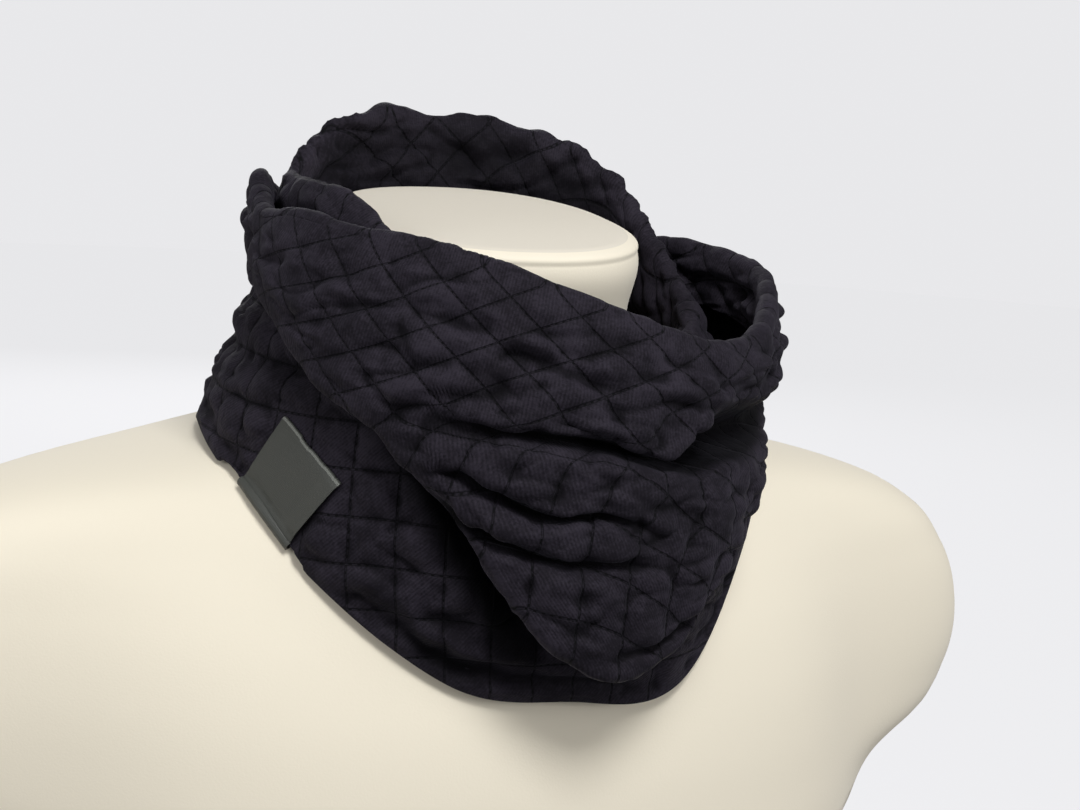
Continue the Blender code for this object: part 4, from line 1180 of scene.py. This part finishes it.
class OBJECT_OT_cowl_label(bpy.types.Operator):
    """Build the woven label that is folded round the hem"""

    bl_idname = "object.cowl_label"
    bl_label = "Edge Label"

    def execute(self, context):
        azimuths, _, _, _, inner = plain_tube()
        bed = BVHTree.FromPolygons(inner.reshape(-1, 3).tolist(), grid_faces(*inner.shape[:2]))
        hem, along, up = (Vector(way) for way in label_frame(inner, azimuths))
        route, travelled = label_route()
        way = travelled / travelled[-1]
        grid = np.array([
            label_column(bed, hem + along * (side * LABEL_WIDTH), up, route)
            for side in np.linspace(-0.5, 0.5, LABEL_COLUMNS)
        ])
        # the stiff tape bridges what the cloth under it does near the hem
        spread = 2 * LABEL_EASED + 1
        eased = np.pad(grid, ((0, 0), (LABEL_EASED, LABEL_EASED), (0, 0)), mode="edge")
        eased = sum(eased[:, k : k + LABEL_ROWS] for k in range(spread)) / spread
        share, free = (
            ease(way, *begins) * (1 - ease(way, *ends))
            for begins, ends in (LABEL_BRIDGES, LABEL_FREE)
        )
        grid = grid + (eased - grid) * share[:, None]
        # woven tape is springy: it bows a little between its two sewn ends, and one edge stands off
        across = np.linspace(-1, 1, LABEL_COLUMNS)[:, None]
        normal = np.cross(np.gradient(grid, axis=0), np.gradient(grid, axis=1))
        normal /= np.linalg.norm(normal, axis=2, keepdims=True)
        outward = np.array(bed.find_nearest(hem + up * LABEL_SEEN_AT)[1])
        normal *= np.sign(normal[LABEL_COLUMNS // 2, -6] @ outward)
        bow = LABEL_BOW * np.sin(6.5 * way + 1.2 * across)
        bow = (bow + LABEL_EDGE_OFF * ease(across, *LABEL_EDGE)) * free
        grid = grid + normal * bow[..., None]
        ring = np.concatenate([grid + normal * LABEL_THICKNESS, grid[:, ::-1]], axis=1)
        columns, rows = ring.shape[:2]
        i, j = np.meshgrid(np.arange(columns), np.arange(rows + 1) % rows, indexing="ij")
        quads = corners_of(i * rows + j).reshape(-1, 4)
        ends = [
            (c * rows + k, c * rows + k + 1, c * rows + rows - 2 - k, c * rows + rows - 1 - k)
            for c in (0, columns - 1) for k in range(rows // 2 - 1)
        ]
        mesh = bpy.data.meshes.new("edge_label_woven")
        mesh.from_pydata(ring.reshape(-1, 3), [], quads.tolist() + ends)
        down = travelled[-1] - travelled
        weave = np.stack(np.broadcast_arrays(across * LABEL_WIDTH / 2, down), axis=-1)
        weave = np.concatenate([weave, weave[:, ::-1]], axis=1).reshape(-1, 2)
        loops = np.zeros(len(mesh.loops), dtype=int)
        mesh.loops.foreach_get("vertex_index", loops)
        layer = mesh.uv_layers.new(name="weave")
        layer.data.foreach_set("uv", weave[loops].astype(np.float32).ravel())
        mesh.materials.append(label_satin(context.scene.cowl_colours))
        mesh.shade_smooth()
        mesh.set_sharp_from_angle(angle=SHARP_EDGE)
        label = linked("edge_label_woven", mesh)
        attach(label, "root")
        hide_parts("edge_label")
        return {"FINISHED"}


# ---------------------------------------------------------------- studio
def studio_piece(name, profile, finish):
    """Turn a profile of radius and height into a round, closed piece of the studio. It is seen, but
    it neither lights the object nor throws a shadow on it."""
    ring = [(math.cos(t), math.sin(t)) for t in np.linspace(0, 2 * math.pi, 73)[:-1]]
    vertices = [(r * x, r * y, z) for r, z in profile for x, y in ring] + [(0, 0, profile[0][1])]
    n, last = len(ring), len(profile) * len(ring)
    faces = [
        (k * n + i, k * n + (i + 1) % n, (k + 1) * n + (i + 1) % n, (k + 1) * n + i)
        for k in range(len(profile) - 1) for i in range(n)
    ]
    faces += [(last, (i + 1) % n, i) for i in range(n)]
    mesh = bpy.data.meshes.new(name)
    mesh.from_pydata(vertices, [], faces)
    mesh.materials.append(finish)
    mesh.shade_smooth()
    made = linked(name, mesh)
    made.visible_diffuse = made.visible_glossy = False
    made.visible_transmission = made.visible_shadow = False


class OBJECT_OT_cowl_stage(bpy.types.Operator):
    """Set up the floor, backdrop, soft lights and camera"""

    bl_idname = "object.cowl_stage"
    bl_label = "Studio"

    def execute(self, context):
        colours = context.scene.cowl_colours
        flat = [(FLOOR_RADIUS * share, 0.0) for share in np.linspace(0.1, 1, 10)]
        rise = np.linspace(-0.2, 1.45, 12)
        dome = [(FLOOR_RADIUS * math.cos(turn), FLOOR_RADIUS * math.sin(turn)) for turn in rise]
        studio_piece("studio_floor", flat, studio_paper("studio_floor_paper", colours))
        studio_piece("studio_backdrop", dome, studio_paper("studio_backdrop_paper", colours))
        for name, place, target, size, watts in LAMPS:
            light = bpy.data.lights.new(name, "AREA")
            light.shape = "RECTANGLE"
            light.size, light.size_y = size
            light.energy = watts
            lamp = linked(name, light)
            lamp.location = place
            aim = Vector(target) - Vector(place)
            lamp.rotation_euler = aim.to_track_quat("-Z", "Y").to_euler()
        room = bpy.data.worlds.new("studio_room")
        room.use_nodes = True
        fill(room.node_tree, room.node_tree.nodes["Background"], [ROOM_COLOUR, ROOM_LIGHT])
        context.scene.world = room
        context.scene.view_settings.view_transform = "Standard"
        camera = bpy.data.cameras.new("photo_view")
        camera.lens, camera.sensor_width = CAMERA_LENS, CAMERA_SENSOR
        seen = linked("photo_view", camera)
        turn = Matrix(CAMERA_AXES).transposed().to_4x4()
        seen.matrix_world = Matrix.Translation(CAMERA_PLACE) @ turn
        context.scene.camera = seen
        return {"FINISHED"}


OPERATORS = (
    OBJECT_OT_cowl_dress_form,
    OBJECT_OT_cowl_tube,
    OBJECT_OT_cowl_drape,
    OBJECT_OT_cowl_label,
    OBJECT_OT_cowl_stage,
)


class VIEW3D_PT_cowl(bpy.types.Panel):
    """Lists the pieces, with the sizes and colours that they use"""

    bl_label = "Quilted Cowl"
    bl_idname = "VIEW3D_PT_cowl"
    bl_space_type = "VIEW_3D"
    bl_region_type = "UI"
    bl_category = "Cowl"

    def draw(self, context):
        for group in (context.scene.cowl_sizes, context.scene.cowl_colours):
            box = self.layout.box()
            for key in group.__annotations__:
                box.prop(group, key)
        for operator in OPERATORS:
            self.layout.operator(operator.bl_idname)


CLASSES = (CowlSizes, CowlColours, *OPERATORS, VIEW3D_PT_cowl)


def register():
    for made in CLASSES:
        bpy.utils.register_class(made)
    bpy.types.Scene.cowl_sizes = bpy.props.PointerProperty(type=CowlSizes)
    bpy.types.Scene.cowl_colours = bpy.props.PointerProperty(type=CowlColours)


def unregister():
    del bpy.types.Scene.cowl_sizes, bpy.types.Scene.cowl_colours
    for made in reversed(CLASSES):
        bpy.utils.unregister_class(made)


def main():
    """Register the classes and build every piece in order."""
    register()
    for operator in OPERATORS:
        group, name = operator.bl_idname.split(".")
        getattr(getattr(bpy.ops, group), name)()


if __name__ == "__main__":
    main()
